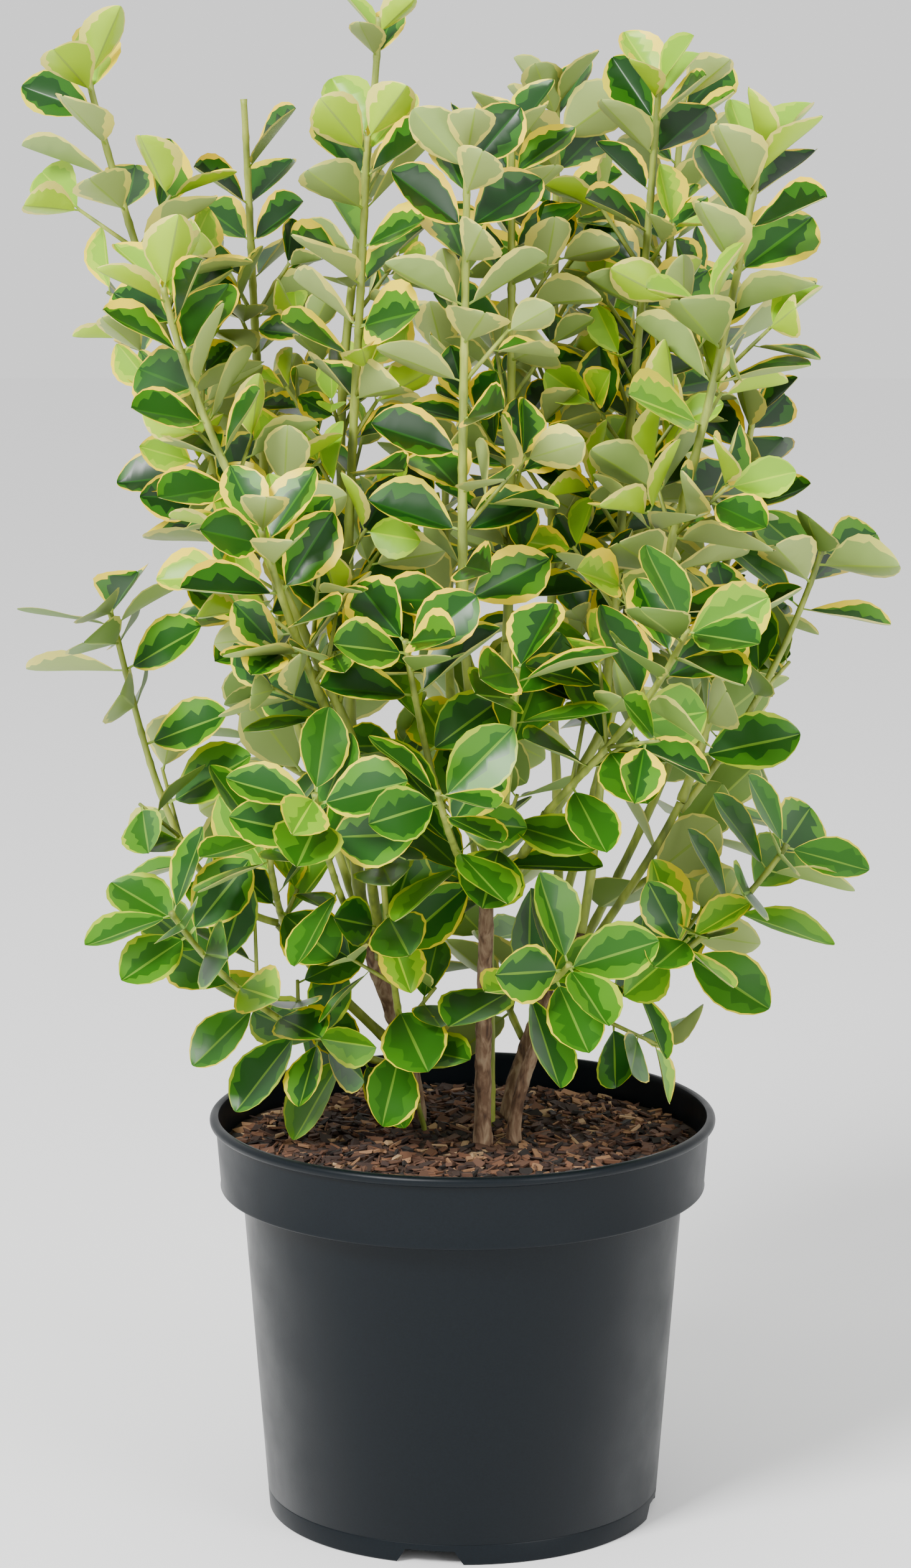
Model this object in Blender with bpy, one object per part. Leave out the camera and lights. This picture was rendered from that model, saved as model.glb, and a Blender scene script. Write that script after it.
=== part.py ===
"""A potted Japanese spindle with edged leaves, in metres with +Z up.

The origin is at the centre of the pot's flat underside. Six stems rise from the soil, boughs
grow from them, and each bough carries one or more masses of leafy twigs.
"""

import math
import random

import bmesh
import bpy
from mathutils import Matrix, Vector
from mathutils.bvhtree import BVHTree

UP = Vector((0.0, 0.0, 1.0))
GAP = 0.0003

# Pot: a turned nursery pot with a collar, a rolled lip and a raised drainage channel underneath
RIM_RADIUS = 0.1400
POT_HEIGHT = 0.2249
FOOT_RADIUS = 0.1082
WALL = 0.0018
SHOULDER_RADIUS = 0.1222
COLLAR_FOOT_RADIUS = 0.1343
COLLAR_TOP_RADIUS = 0.1366
COLLAR_FOOT = 0.1840
LIP_FOOT = 0.2190
SHELF = 0.0025
PAD_RADIUS = 0.0840
CHANNEL_HEIGHT = 0.0095
FLOOR = 0.0020
POT_SIDES = 40

# Drainage notches in the foot of the wall
NOTCHES = 4
NOTCH_BEARING = math.radians(-99.5)
NOTCH_WIDTH = 0.0370
NOTCH_TOP_WIDTH = 0.0270
NOTCH_HEIGHT = 0.0079

# Soil
SOIL_TOP = 0.2080
SOIL_DIP = 0.0030

# Leaves
LEAF_LENGTH = 0.062
LEAF_WIDTH = 0.0470
LEAF_BROADEST = 0.58
LEAF_THICKNESS = 0.0009
ROOT_THICKNESS = 0.0010
LEAF_ARCH = 0.03
LEAF_DROOP = 0.07
LEAF_CLEARANCE = 0.0004
LEAF_NECK = 0.0065
MOST_LEAVES = 450

# Twigs
TWIG_SPACE = 0.085
SIDE_TWIG_RADIUS = 0.0016
TWIG_TIP_RADIUS = 0.0013
FOOT_FLARE = 1.22
CROWN_DEPTH = 0.020
SEED = 36
CROWN_WIDTH = (-0.2515, 0.2435)
CROWN_DEPTHS = (-0.2050, 0.2200)
CROWN_TOP = 0.8350

# Sky seen through the crown from the front and a little above: across, height and radius
SIGHT_SLOPE = 0.190
SKY = {
    "top_left_corner": (-0.250, 0.835, 0.030),
    "left_of_second_shoot": (-0.155, 0.800, 0.030),
    "right_of_second_shoot": (-0.085, 0.810, 0.025),
    "right_of_middle_shoot": (0.000, 0.805, 0.020),
    "top_right_notch": (0.100, 0.825, 0.015),
    "top_right_corner": (0.235, 0.830, 0.060),
    "upper_left_side": (-0.225, 0.690, 0.025),
    "upper_right_side": (0.220, 0.725, 0.030),
    "middle_left_side": (-0.215, 0.600, 0.035),
    "middle_right_side": (0.220, 0.625, 0.030),
    "lower_left_side": (-0.210, 0.400, 0.025),
    "lower_right_side": (0.220, 0.465, 0.030),
    "foot_left": (-0.175, 0.260, 0.025),
    "foot_right": (0.150, 0.260, 0.020),
}

# Limbs: rings along each kind, and how many sides they have
STEM_STEPS = 6
STEM_SIDES = 8
BOUGH_STEPS = 5
BOUGH_SIDES = 6
SHOOT_STEPS = 5
TWIG_SIDES = 3
TIP_SHARE = 0.96

# Stems: the foot across and back, the tip, and the radii at both ends
STEMS = {
    "stem_left": ((-0.026, 0.036), (-0.054, -0.008, 0.332), 0.0052, 0.0038),
    "stem_front": ((-0.021, 0.010), (-0.025, 0.004, 0.229), 0.0016, 0.0014),
    "stem_centre": ((0.011, -0.014), (0.013, -0.050, 0.370), 0.0046, 0.0037),
    "stem_green": ((0.016, 0.029), (0.015, 0.036, 0.350), 0.0024, 0.0021),
    "stem_back": ((0.026, 0.043), (0.050, 0.052, 0.290), 0.0042, 0.0034),
    "stem_right": ((0.028, -0.008), (0.064, -0.030, 0.332), 0.0035, 0.0029),
}

# Boughs: what each grows from, how far along it, the tip, and the radii at both ends
BOUGHS = {
    "bough_mid_left": ("stem_left", 1.00, (-0.062, -0.036, 0.505), 0.0036, 0.0034),
    "bough_left": ("stem_left", 0.86, (-0.058, -0.078, 0.446), 0.0030, 0.0027),
    "bough_far_left": ("stem_left", 0.90, (-0.098, 0.030, 0.463), 0.0026, 0.0022),
    "bough_left_back": ("stem_left", 0.74, (-0.100, 0.085, 0.475), 0.0028, 0.0023),
    "bough_back_left": ("stem_left", 0.55, (-0.074, 0.115, 0.395), 0.0024, 0.0020),
    "bough_low_left": ("stem_left", 0.40, (-0.101, 0.004, 0.330), 0.0029, 0.0023),
    "bough_middle": ("stem_centre", 1.00, (0.001, -0.082, 0.500), 0.0028, 0.0026),
    "bough_mid_right": ("stem_centre", 0.86, (0.024, -0.012, 0.490), 0.0032, 0.0030),
    "bough_front_right": ("stem_centre", 0.95, (0.044, -0.092, 0.411), 0.0027, 0.0024),
    "bough_far_right": ("stem_centre", 0.90, (0.086, -0.052, 0.472), 0.0028, 0.0026),
    "bough_tallest": ("stem_green", 1.00, (-0.062, 0.048, 0.520), 0.0021, 0.0019),
    "bough_back": ("stem_green", 0.80, (-0.006, 0.118, 0.430), 0.0019, 0.0017),
    "bough_mid_back": ("stem_back", 1.00, (0.050, 0.074, 0.480), 0.0028, 0.0025),
    "bough_right_back": ("stem_back", 0.80, (0.082, 0.104, 0.416), 0.0027, 0.0023),
    "bough_far_right_back": ("stem_back", 0.90, (0.124, 0.064, 0.430), 0.0026, 0.0022),
    "bough_right": ("stem_right", 1.00, (0.080, 0.004, 0.480), 0.0026, 0.0024),
    "bough_side_right": ("stem_right", 0.80, (0.119, -0.004, 0.400), 0.0025, 0.0021),
}

# Masses: what each grows from, how far along it, the tip of its stem, its habit and leaf size
MASSES = {
    "leaves_far_left": ("bough_far_left", 1.0, (-0.201, 0.020, 0.792), "leader", 1.0),
    "leaves_left": ("bough_left", 1.0, (-0.157, -0.062, 0.686), "leaning", 1.0),
    "leaves_left_front": ("bough_left", TIP_SHARE, (-0.104, -0.125, 0.567), "leader", 1.0),
    "leaves_left_back": ("bough_left_back", 1.0, (-0.121, 0.100, 0.776), "leader", 0.9),
    "leaves_mid_left": ("bough_mid_left", 1.0, (-0.050, -0.050, 0.764), "leader", 1.0),
    "leaves_tallest": ("bough_tallest", 1.0, (-0.045, 0.030, 0.823), "leader", 0.7),
    "leaves_middle": ("bough_middle", 1.0, (0.002, -0.085, 0.757), "leader", 0.9),
    "leaves_mid_right": ("bough_mid_right", 1.0, (0.026, -0.020, 0.763), "leader", 0.9),
    "leaves_mid_back": ("bough_mid_back", 1.0, (0.052, 0.090, 0.775), "leader", 0.95),
    "leaves_right": ("bough_right", 1.0, (0.104, -0.010, 0.790), "leader", 0.9),
    "leaves_right_back": ("bough_right_back", 1.0, (0.123, 0.115, 0.777), "leader", 1.0),
    "leaves_far_right": ("bough_far_right", 1.0, (0.156, -0.045, 0.753), "leader", 1.1),
    "leaves_far_right_back": ("bough_far_right_back", 1.0, (0.163, 0.105, 0.600), "leader", 0.9),
    "leaves_right_inner": ("bough_side_right", 1.0, (0.146, -0.012, 0.503), "leader", 1.0),
    "leaves_right_side": ("bough_side_right", TIP_SHARE, (0.196, 0.020, 0.535), "spray", 1.0),
    "leaves_left_side": ("bough_low_left", 1.0, (-0.192, 0.004, 0.505), "arching", 1.0),
    "leaves_low_right": ("stem_right", 0.62, (0.174, -0.055, 0.387), "spray", 1.0),
    "leaves_low_left": ("stem_left", 0.30, (-0.156, -0.070, 0.353), "spray", 1.0),
    "leaves_mid_low_left": ("bough_low_left", TIP_SHARE, (-0.104, -0.075, 0.395), "spray", 1.0),
    "leaves_front_left": ("stem_left", 0.95, (-0.077, -0.135, 0.430), "spray", 1.0),
    "leaves_front_right": ("bough_front_right", 1.0, (0.115, -0.150, 0.519), "spray", 1.0),
    "leaves_front_centre": ("stem_centre", 0.98, (-0.013, -0.150, 0.434), "spray", 1.0),
    "leaves_front_upper": ("stem_centre", 0.92, (-0.030, -0.130, 0.510), "spray", 1.0),
    "leaves_front_mid": ("stem_centre", TIP_SHARE, (0.028, -0.140, 0.497), "spray", 1.0),
    "leaves_foot": ("stem_front", 1.0, (-0.044, -0.095, 0.400), "spray", 1.0),
    "leaves_low_front": ("stem_centre", 0.62, (0.056, -0.115, 0.335), "spray", 1.0),
    "leaves_low_middle": ("stem_back", 0.55, (0.008, 0.110, 0.330), "spray", 1.0),
    "leaves_low_inner": ("bough_side_right", 0.50, (0.135, 0.055, 0.385), "spray", 1.0),
    "leaves_back_left": ("bough_back_left", 1.0, (-0.122, 0.165, 0.590), "leader", 1.0),
    "leaves_back": ("bough_back", 1.0, (-0.010, 0.195, 0.630), "leader", 1.0),
    "leaves_back_right": ("bough_right_back", TIP_SHARE, (0.098, 0.190, 0.590), "leader", 1.0),
    "leaves_low_back_left": ("bough_back_left", TIP_SHARE, (-0.120, 0.165, 0.410), "spray", 1.0),
    "leaves_low_back": ("bough_back", TIP_SHARE, (0.010, 0.205, 0.420), "spray", 1.0),
    "leaves_low_back_right": ("bough_far_right_back", TIP_SHARE, (0.150, 0.150, 0.430), "spray", 1.0),
}

# Habits: node spacing, lean of a leaf from its twig at the tip and at the foot in degrees, size of
# the youngest leaf, share of leaves with a side twig, how much leaves turn to the light, how far
# they roll in degrees, how flat the stem starts, how much it turns up, and its end radii
HABITS = {
    "leader": dict(
        pitch=0.033, lean_tip=42, lean_foot=68, young=0.75, twiggy=0.22, light=0.35, roll=40,
        flat=0.05, turn=0.35, foot=0.0034, tip=0.0018,
    ),
    "leaning": dict(
        pitch=0.031, lean_tip=42, lean_foot=68, young=0.75, twiggy=0.26, light=0.40, roll=40,
        flat=0.45, turn=0.80, foot=0.0034, tip=0.0018,
    ),
    "spray": dict(
        pitch=0.028, lean_tip=64, lean_foot=72, young=0.92, twiggy=0.20, light=0.80, roll=25,
        flat=0.30, turn=0.60, foot=0.0026, tip=0.0016,
    ),
    "arching": dict(
        pitch=0.028, lean_tip=75, lean_foot=70, young=0.95, twiggy=0.20, light=0.70, roll=30,
        flat=1.30, turn=0.80, foot=0.0026, tip=0.0016,
    ),
}


def clear_scene():
    for obj in list(bpy.data.objects):
        bpy.data.objects.remove(obj, do_unlink=True)


def finish(name, colour, roughness, metallic=0.0):
    """A Principled material."""
    made = bpy.data.materials.get(name) or bpy.data.materials.new(name)
    made.use_nodes = True
    shader = made.node_tree.nodes["Principled BSDF"]
    shader.inputs["Base Color"].default_value = (*colour, 1.0)
    shader.inputs["Roughness"].default_value = roughness
    shader.inputs["Metallic"].default_value = metallic
    return made


def pot_plastic():
    return finish("pot_plastic", (0.018, 0.024, 0.030), 0.38)


def bark_mulch():
    return finish("bark_mulch", (0.075, 0.038, 0.022), 0.92)


def brown_bark():
    return finish("brown_bark", (0.200, 0.125, 0.070), 0.80)


def green_bark():
    return finish("green_bark", (0.230, 0.280, 0.090), 0.62)


def leaf_green():
    return finish("leaf_green", (0.060, 0.150, 0.030), 0.42)


def add_object(name, mesh, material):
    obj = bpy.data.objects.new(name, mesh)
    bpy.context.scene.collection.objects.link(obj)
    obj.data.materials.clear()
    obj.data.materials.append(material)
    return obj


def mesh_from(name, points, faces):
    mesh = bpy.data.meshes.new(name)
    mesh.from_pydata([tuple(p) for p in points], [], faces)
    return mesh


def turned(name, profile, sides, material):
    """A closed solid of revolution about +Z, from a profile of radius and height."""
    bm = bmesh.new()
    corners = [bm.verts.new((radius, 0.0, height)) for radius, height in profile]
    edges = [bm.edges.new(pair) for pair in zip(corners, corners[1:])]
    bmesh.ops.spin(
        bm, geom=corners + edges, cent=(0, 0, 0), axis=UP, angle=math.tau, steps=sides, use_merge=True
    )
    bmesh.ops.remove_doubles(bm, verts=bm.verts, dist=1e-6)
    bmesh.ops.recalc_face_normals(bm, faces=bm.faces)
    mesh = bpy.data.meshes.new(name)
    bm.to_mesh(mesh)
    bm.free()
    obj = add_object(name, mesh, material)
    mesh.shade_smooth()
    mesh.set_sharp_from_angle(angle=math.radians(35))
    return obj


def wall_radius(height):
    """The outer radius of the pot's wall below the collar."""
    return FOOT_RADIUS + (SHOULDER_RADIUS - FOOT_RADIUS) * height / COLLAR_FOOT


def pot_profile():
    lip = RIM_RADIUS - COLLAR_TOP_RADIUS
    skirt = FOOT_RADIUS - 0.0030
    inner_shelf = COLLAR_FOOT + SHELF
    inner_floor = CHANNEL_HEIGHT + FLOOR
    outside = [
        (0.0, 0.0),
        (PAD_RADIUS, 0.0),
        (PAD_RADIUS + 0.0020, CHANNEL_HEIGHT),
        (skirt, CHANNEL_HEIGHT),
        (skirt, 0.0),
        (FOOT_RADIUS - 0.0006, 0.0),
        (wall_radius(0.0008), 0.0008),
        (SHOULDER_RADIUS, COLLAR_FOOT),
        (COLLAR_FOOT_RADIUS - 0.0010, COLLAR_FOOT),
        (COLLAR_FOOT_RADIUS, COLLAR_FOOT + 0.0010),
        (COLLAR_TOP_RADIUS, LIP_FOOT),
        (RIM_RADIUS, LIP_FOOT + 0.6 * lip),
        (RIM_RADIUS, POT_HEIGHT - 0.4 * lip),
        (RIM_RADIUS - 0.4 * lip, POT_HEIGHT),
    ]
    inside = [
        (COLLAR_TOP_RADIUS - 0.4 * WALL, POT_HEIGHT),
        (COLLAR_TOP_RADIUS - WALL, POT_HEIGHT - 0.0015),
        (COLLAR_FOOT_RADIUS - WALL, inner_shelf),
        (wall_radius(inner_shelf) - WALL, inner_shelf),
        (wall_radius(inner_floor) - WALL, inner_floor),
        (PAD_RADIUS, inner_floor),
        (PAD_RADIUS - 0.0020, FLOOR),
        (0.0, FLOOR),
    ]
    return outside + inside


def notch_cutter(bearing):
    """A tapering block across the pot's skirt."""
    half, top = NOTCH_WIDTH / 2, NOTCH_TOP_WIDTH / 2
    below = 0.004
    slope = (half - top) / NOTCH_HEIGHT
    outline = [
        (-half - slope * below, -below),
        (half + slope * below, -below),
        (top, NOTCH_HEIGHT),
        (-top, NOTCH_HEIGHT),
    ]
    reach = (FOOT_RADIUS - 0.0080, FOOT_RADIUS + 0.0080)
    points = [(radius, across, up) for radius in reach for across, up in outline]
    faces = [(3, 2, 1, 0), (4, 5, 6, 7)] + [(i, (i + 1) % 4, (i + 1) % 4 + 4, i + 4) for i in range(4)]
    cutter = add_object("notch_cutter", mesh_from("notch_cutter", points, faces), pot_plastic())
    cutter.matrix_world = Matrix.Rotation(bearing, 4, "Z")
    cutter.hide_render = True
    cutter.display_type = "WIRE"
    return cutter


def build_pot():
    pot = turned("pot", pot_profile(), POT_SIDES, pot_plastic())
    for index in range(NOTCHES):
        cut = pot.modifiers.new("notch", "BOOLEAN")
        cut.operation = "DIFFERENCE"
        cut.solver = "EXACT"
        cut.object = notch_cutter(NOTCH_BEARING + math.tau * index / NOTCHES)
    return pot


def build_soil():
    """The root ball and bark mulch, which fill the pot a little clear of its wall."""
    inner_floor = CHANNEL_HEIGHT + FLOOR + GAP
    shelf = COLLAR_FOOT + SHELF + GAP
    clear = WALL + GAP
    collar = COLLAR_FOOT_RADIUS - clear
    collar_taper = (COLLAR_TOP_RADIUS - COLLAR_FOOT_RADIUS) / (LIP_FOOT - COLLAR_FOOT)
    profile = [
        (0.0, FLOOR + GAP),
        (PAD_RADIUS - 0.0026, FLOOR + GAP),
        (PAD_RADIUS - 0.0006, inner_floor),
        (wall_radius(inner_floor) - clear, inner_floor),
        (wall_radius(shelf) - clear, shelf),
        (collar, shelf),
        (collar + collar_taper * (SOIL_TOP - shelf), SOIL_TOP - SOIL_DIP),
        (0.110, SOIL_TOP - 0.5 * SOIL_DIP),
        (0.070, SOIL_TOP),
        (0.0, SOIL_TOP),
    ]
    return turned("soil", profile, POT_SIDES, bark_mulch())


def hermite(start, leave, end, arrive, t):
    """A point of the curve that leaves start and arrives at end along the given vectors."""
    a = 2 * t**3 - 3 * t**2 + 1
    b = t**3 - 2 * t**2 + t
    c = 3 * t**2 - 2 * t**3
    d = t**3 - t**2
    return a * start + b * leave + c * end + d * arrive


def limb_path(start, end, leave, turn, steps):
    """Points of a limb that leaves along a direction and turns up to the light at its end."""
    chord = end - start
    length = chord.length
    arrive = (chord / length + turn * UP).normalized()
    return [hermite(start, length * leave, end, length * arrive, i / steps) for i in range(steps + 1)]


def point_at(path, share):
    """The point and direction at a share of the path's steps."""
    place = min(max(share, 0.0), 1.0) * (len(path) - 1)
    index = min(int(place), len(path) - 2)
    step = path[index + 1] - path[index]
    return path[index] + (place - index) * step, step.normalized()


def any_side(direction):
    level = UP if abs(direction.z) < 0.95 else Vector((1.0, 0.0, 0.0))
    return direction.cross(level).normalized()


def tube(path, radii, sides):
    """Points and faces of a tapering tube with flat ends."""
    points, faces = [], []
    side = any_side(path[1] - path[0])
    for index, centre in enumerate(path):
        ahead = (path[min(index + 1, len(path) - 1)] - path[max(index - 1, 0)]).normalized()
        side = (side - side.dot(ahead) * ahead).normalized()
        other = ahead.cross(side)
        for corner in range(sides):
            angle = math.tau * corner / sides
            points.append(centre + radii[index] * (math.cos(angle) * side + math.sin(angle) * other))
    for ring in range(len(path) - 1):
        for corner in range(sides):
            a, b = ring * sides + corner, ring * sides + (corner + 1) % sides
            faces.append((a, b, b + sides, a + sides))
    last = (len(path) - 1) * sides
    faces.append(tuple(reversed(range(sides))))
    faces.append(tuple(range(last, last + sides)))
    return points, faces


def tapering(count, foot, tip):
    return [foot + (tip - foot) * i / (count - 1) for i in range(count)]


class Room:
    """The space that is already taken, as small surface trees with a centre and a reach."""

    def __init__(self):
        self.taken = []

    def ball(self, points):
        centre = sum(points, Vector()) / len(points)
        return centre, max((point - centre).length for point in points)

    def free(self, shape, own=None):
        points, faces = shape
        centre, reach = self.ball(points)
        tree = BVHTree.FromPolygons(points, faces)
        for other, middle, far, owner in self.taken:
            near = (centre - middle).length < reach + far
            if near and (own is None or owner != own) and tree.overlap(other):
                return False
        return True

    def take(self, shape, owner):
        points, faces = shape
        self.taken.append((BVHTree.FromPolygons(points, faces), *self.ball(points), owner))


def guard(path, radii, sides):
    """A slightly fatter and longer tube, free where the real one is clear by the gap."""
    first = path[0] - GAP * (path[1] - path[0]).normalized()
    more = GAP / math.cos(math.pi / sides)
    return tube([first] + path[1:], [radius + more for radius in radii], sides)


def attach(room, parent, share, end, radii, turn, flat, sides):
    """The path of a limb that starts just clear of its parent and ends at its tip."""
    origin, along = point_at(parent, share)
    chord = (end - origin).normalized()
    leave = (chord + (0.8 * along if share == 1.0 else Vector()) - flat * UP).normalized()
    slide = along if share == 1.0 else (chord - chord.dot(along) * along).normalized()
    distance = GAP
    while distance < 0.03:
        path = limb_path(origin + distance * slide, end, leave, turn, len(radii) - 1)
        if room.free(guard(path, radii, sides)):
            return path
        distance += 0.5 * GAP
    raise ValueError("no room for a limb")


def solid_limb(name, path, radii, sides, bark, level=None):
    """A limb's object. With a level, its foot is cut flat there."""
    points, faces = tube(path, radii, sides)
    if level is not None:
        for point in points[:sides]:
            point.z = level
    obj = add_object(name, mesh_from(name, points, faces), bark)
    obj.data.shade_smooth()
    obj.data.set_sharp_from_angle(angle=math.radians(50))
    return points, faces


def build_stems(room, paths):
    """The stems, cut flat at the soil, each with a flared foot."""
    for name, (foot, tip, foot_radius, tip_radius) in STEMS.items():
        start = Vector((*foot, SOIL_TOP + GAP))
        steps = 2 if name == "stem_front" else STEM_STEPS
        path = limb_path(start, Vector(tip), UP, 0.15, steps)
        radii = tapering(len(path), foot_radius, tip_radius)
        radii[0] *= FOOT_FLARE
        bark = green_bark() if foot_radius < 0.003 else brown_bark()
        room.take(solid_limb(name, path, radii, STEM_SIDES, bark, start.z), name)
        paths[name] = path


def build_boughs(room, paths):
    for name, (parent, share, tip, foot_radius, tip_radius) in BOUGHS.items():
        radii = tapering(BOUGH_STEPS + 1, foot_radius, tip_radius)
        path = attach(room, paths[parent], share, Vector(tip), radii, 0.25, 0.0, BOUGH_SIDES)
        room.take(solid_limb(name, path, radii, BOUGH_SIDES, green_bark()), name)
        paths[name] = path


def path_length(path):
    return sum((b - a).length for a, b in zip(path, path[1:]))


def place_leaf(rng, root, along, away, age, habit, small):
    """One leaf: its root, its direction, the way its upper side faces, its length and width."""
    lean = habit["lean_tip"] + (habit["lean_foot"] - habit["lean_tip"]) * min(age / 8.0, 1.0)
    lean = math.radians(lean + rng.uniform(-8, 8))
    growth = habit["young"] + (1.0 - habit["young"]) * min(age / 3.0, 1.0)
    size = growth * small * rng.uniform(0.90, 1.10)
    heading = math.cos(lean) * along + math.sin(lean) * away
    upper = math.sin(lean) * along - math.cos(lean) * away
    outward = Vector((root.x, root.y - CROWN_DEPTH, 0.0)).normalized()
    light = habit["light"] * min(age / 4.0, 1.0)
    upper = upper + light * (UP + 0.5 * outward)
    upper = (upper - upper.dot(heading) * heading).normalized()
    upper = Matrix.Rotation(math.radians(rng.uniform(-1, 1) * habit["roll"]), 3, heading) @ upper
    width = LEAF_WIDTH * size * rng.uniform(0.92, 1.08)
    return dict(root=root, along=heading, upper=upper, length=LEAF_LENGTH * size, width=width, age=age)


def dress(rng, path, radii, habit, small, tip_age):
    """Leaves in crossed pairs along a twig, from its tip to its foot, and its side twigs."""
    leaves, twigs = [], []
    total = path_length(path)
    turn = rng.uniform(0, math.tau)
    side = any_side(path[-1] - path[-2])
    down, age = 0.002, tip_age
    while down < total - 0.012:
        root, along = point_at(path, 1.0 - down / total)
        side = (side - side.dot(along) * along).normalized()
        for half in (0.0, math.pi):
            angle = turn + half + rng.uniform(-0.2, 0.2)
            away = Matrix.Rotation(angle, 3, along) @ side
            leaves.append(place_leaf(rng, root, along, away, age, habit, small))
            if tip_age == 0 and age >= 3 and rng.random() < habit["twiggy"]:
                twigs.append(side_twig(rng, root, along, away, habit, small))
        turn += math.pi / 2
        down += habit["pitch"] * (0.35, 0.60, 0.85)[age] if age < 3 else habit["pitch"] * rng.uniform(0.85, 1.15)
        age += 1
    return leaves, twigs


def side_twig(rng, root, along, away, habit, size):
    """A short twig in the corner between a leaf and its stem, with smaller leaves."""
    lean = math.radians(rng.uniform(38, 55))
    heading = (math.cos(lean) * along + math.sin(lean) * away + 0.15 * UP).normalized()
    length = rng.uniform(0.022, 0.055)
    path = [root, root + length * heading]
    radii = [SIDE_TWIG_RADIUS, TWIG_TIP_RADIUS]
    leaves, _ = dress(rng, path, radii, habit, size * rng.uniform(0.74, 0.92), 1)
    return dict(path=path, radii=radii, leaves=leaves)


def leaf_solid(leaf, more=0.0, skip=0.0):
    """A thin leaf of eight faces. With more it is fatter all round, and skip leaves out its root."""
    along, upper = leaf["along"], leaf["upper"]
    side = upper.cross(along)
    length, half = leaf["length"], leaf["width"] / 2 + more
    root = leaf["root"] + skip * along
    broad = leaf["root"] + LEAF_BROADEST * length * along + LEAF_ARCH * length * upper
    tip = leaf["root"] + (length + more) * along - LEAF_DROOP * length * upper
    thick = LEAF_THICKNESS + 2 * more
    points = [
        root + (ROOT_THICKNESS / 2 + more) * upper,
        root - (ROOT_THICKNESS / 2 + more) * upper,
        broad + half * side + more * upper,
        broad - half * side + more * upper,
        broad + (more - thick) * upper,
        tip,
    ]
    faces = [(0, 3, 2), (3, 5, 2), (1, 2, 4), (1, 4, 3), (4, 2, 5), (4, 5, 3), (0, 2, 1), (3, 0, 1)]
    return points, faces


def in_sky(point):
    """True in a gap of the crown, which runs along the line of sight."""
    height = point.z + SIGHT_SLOPE * point.y
    return any(math.hypot(point.x - across, height - up) < radius for across, up, radius in SKY.values())


def keeps_space(leaf, path):
    """True where the leaf keeps to its mass's space, inside the crown and out of its gaps."""
    outline = leaf_solid(leaf)[0][2:]
    for point in outline:
        across = CROWN_WIDTH[0] < point.x < CROWN_WIDTH[1]
        deep = CROWN_DEPTHS[0] < point.y < CROWN_DEPTHS[1]
        if not across or not deep or point.z > CROWN_TOP or in_sky(point):
            return False
    return min((outline[-1] - point).length for point in path) < TWIG_SPACE


def grow_masses(room, paths):
    """The stem, twigs and leaves of every mass. Leaves nearest the tips are placed first."""
    masses = {}
    for name, (parent, share, tip, habit_name, size) in MASSES.items():
        habit = HABITS[habit_name]
        rng = random.Random(f"{name} {SEED}")
        radii = tapering(SHOOT_STEPS + 1, habit["foot"], habit["tip"])
        turn, flat = habit["turn"], habit["flat"]
        path = attach(room, paths[parent], share, Vector(tip), radii, turn, flat, TWIG_SIDES)
        leaves, twigs = dress(rng, path, radii, habit, size, 0)
        room.take(tube(path, radii, TWIG_SIDES), name)
        masses[name] = dict(path=path, radii=radii, leaves=leaves, twigs=twigs, kept=[])
    for name, mass in masses.items():
        mass["twigs"] = [twig for twig in mass["twigs"] if fits(room, name, twig)]
    waiting = []
    for name, mass in masses.items():
        waiting += [(leaf["age"], 0, name, leaf) for leaf in mass["leaves"]]
        for twig in mass["twigs"]:
            waiting += [(leaf["age"] + 4, 1, name, leaf) for leaf in twig["leaves"]]
    waiting.sort(key=lambda row: row[:2])
    for _, _, name, leaf in waiting:
        if sum(len(mass["kept"]) for mass in masses.values()) >= MOST_LEAVES:
            break
        blade = leaf_solid(leaf, LEAF_CLEARANCE, LEAF_NECK)
        if not keeps_space(leaf, masses[name]["path"]) or not room.free(blade):
            continue
        if room.free(leaf_solid(leaf, LEAF_CLEARANCE), own=name):
            room.take(leaf_solid(leaf), name)
            masses[name]["kept"].append(leaf)
    return masses


def fits(room, name, twig):
    """True where a side twig is clear of everything but its own stem, and it then takes its room."""
    if not room.free(guard(twig["path"], twig["radii"], TWIG_SIDES), own=name):
        return False
    start = twig["path"][0] + LEAF_NECK * (twig["path"][1] - twig["path"][0]).normalized()
    room.take(tube([start] + twig["path"][1:], twig["radii"], TWIG_SIDES), name)
    return True


def fused(name, shapes, material):
    """One closed solid of overlapping ones. The first is the one that the others stand on."""
    host = add_object(name, mesh_from(name, *shapes[0]), material)
    group = bpy.data.collections.new(name + "_parts")
    bpy.context.scene.collection.children.link(group)
    for shape in shapes[1:]:
        group.objects.link(bpy.data.objects.new(name + "_piece", mesh_from(name, *shape)))
    join = host.modifiers.new("join", "BOOLEAN")
    join.operation = "UNION"
    join.operand_type = "COLLECTION"
    join.collection = group
    join.solver = "EXACT"
    bpy.context.view_layer.update()
    evaluated = host.evaluated_get(bpy.context.evaluated_depsgraph_get())
    joined = bpy.data.meshes.new_from_object(evaluated)
    host.modifiers.clear()
    host.data = joined
    for piece in list(group.objects):
        bpy.data.objects.remove(piece, do_unlink=True)
    bpy.data.collections.remove(group)
    keep_largest_body(joined)
    return host


def keep_largest_body(mesh):
    """Drops loose scraps and the walls of sealed hollows."""
    bm = bmesh.new()
    bm.from_mesh(mesh)
    left, bodies = set(bm.verts), []
    while left:
        body, edge = set(), [left.pop()]
        while edge:
            vert = edge.pop()
            body.add(vert)
            near = {link.other_vert(vert) for link in vert.link_edges} & left
            left -= near
            edge += near
        bodies.append(body)
    bodies.sort(key=len)
    bmesh.ops.delete(bm, geom=[vert for body in bodies[:-1] for vert in body], context="VERTS")
    bm.to_mesh(mesh)
    bm.free()


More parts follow.
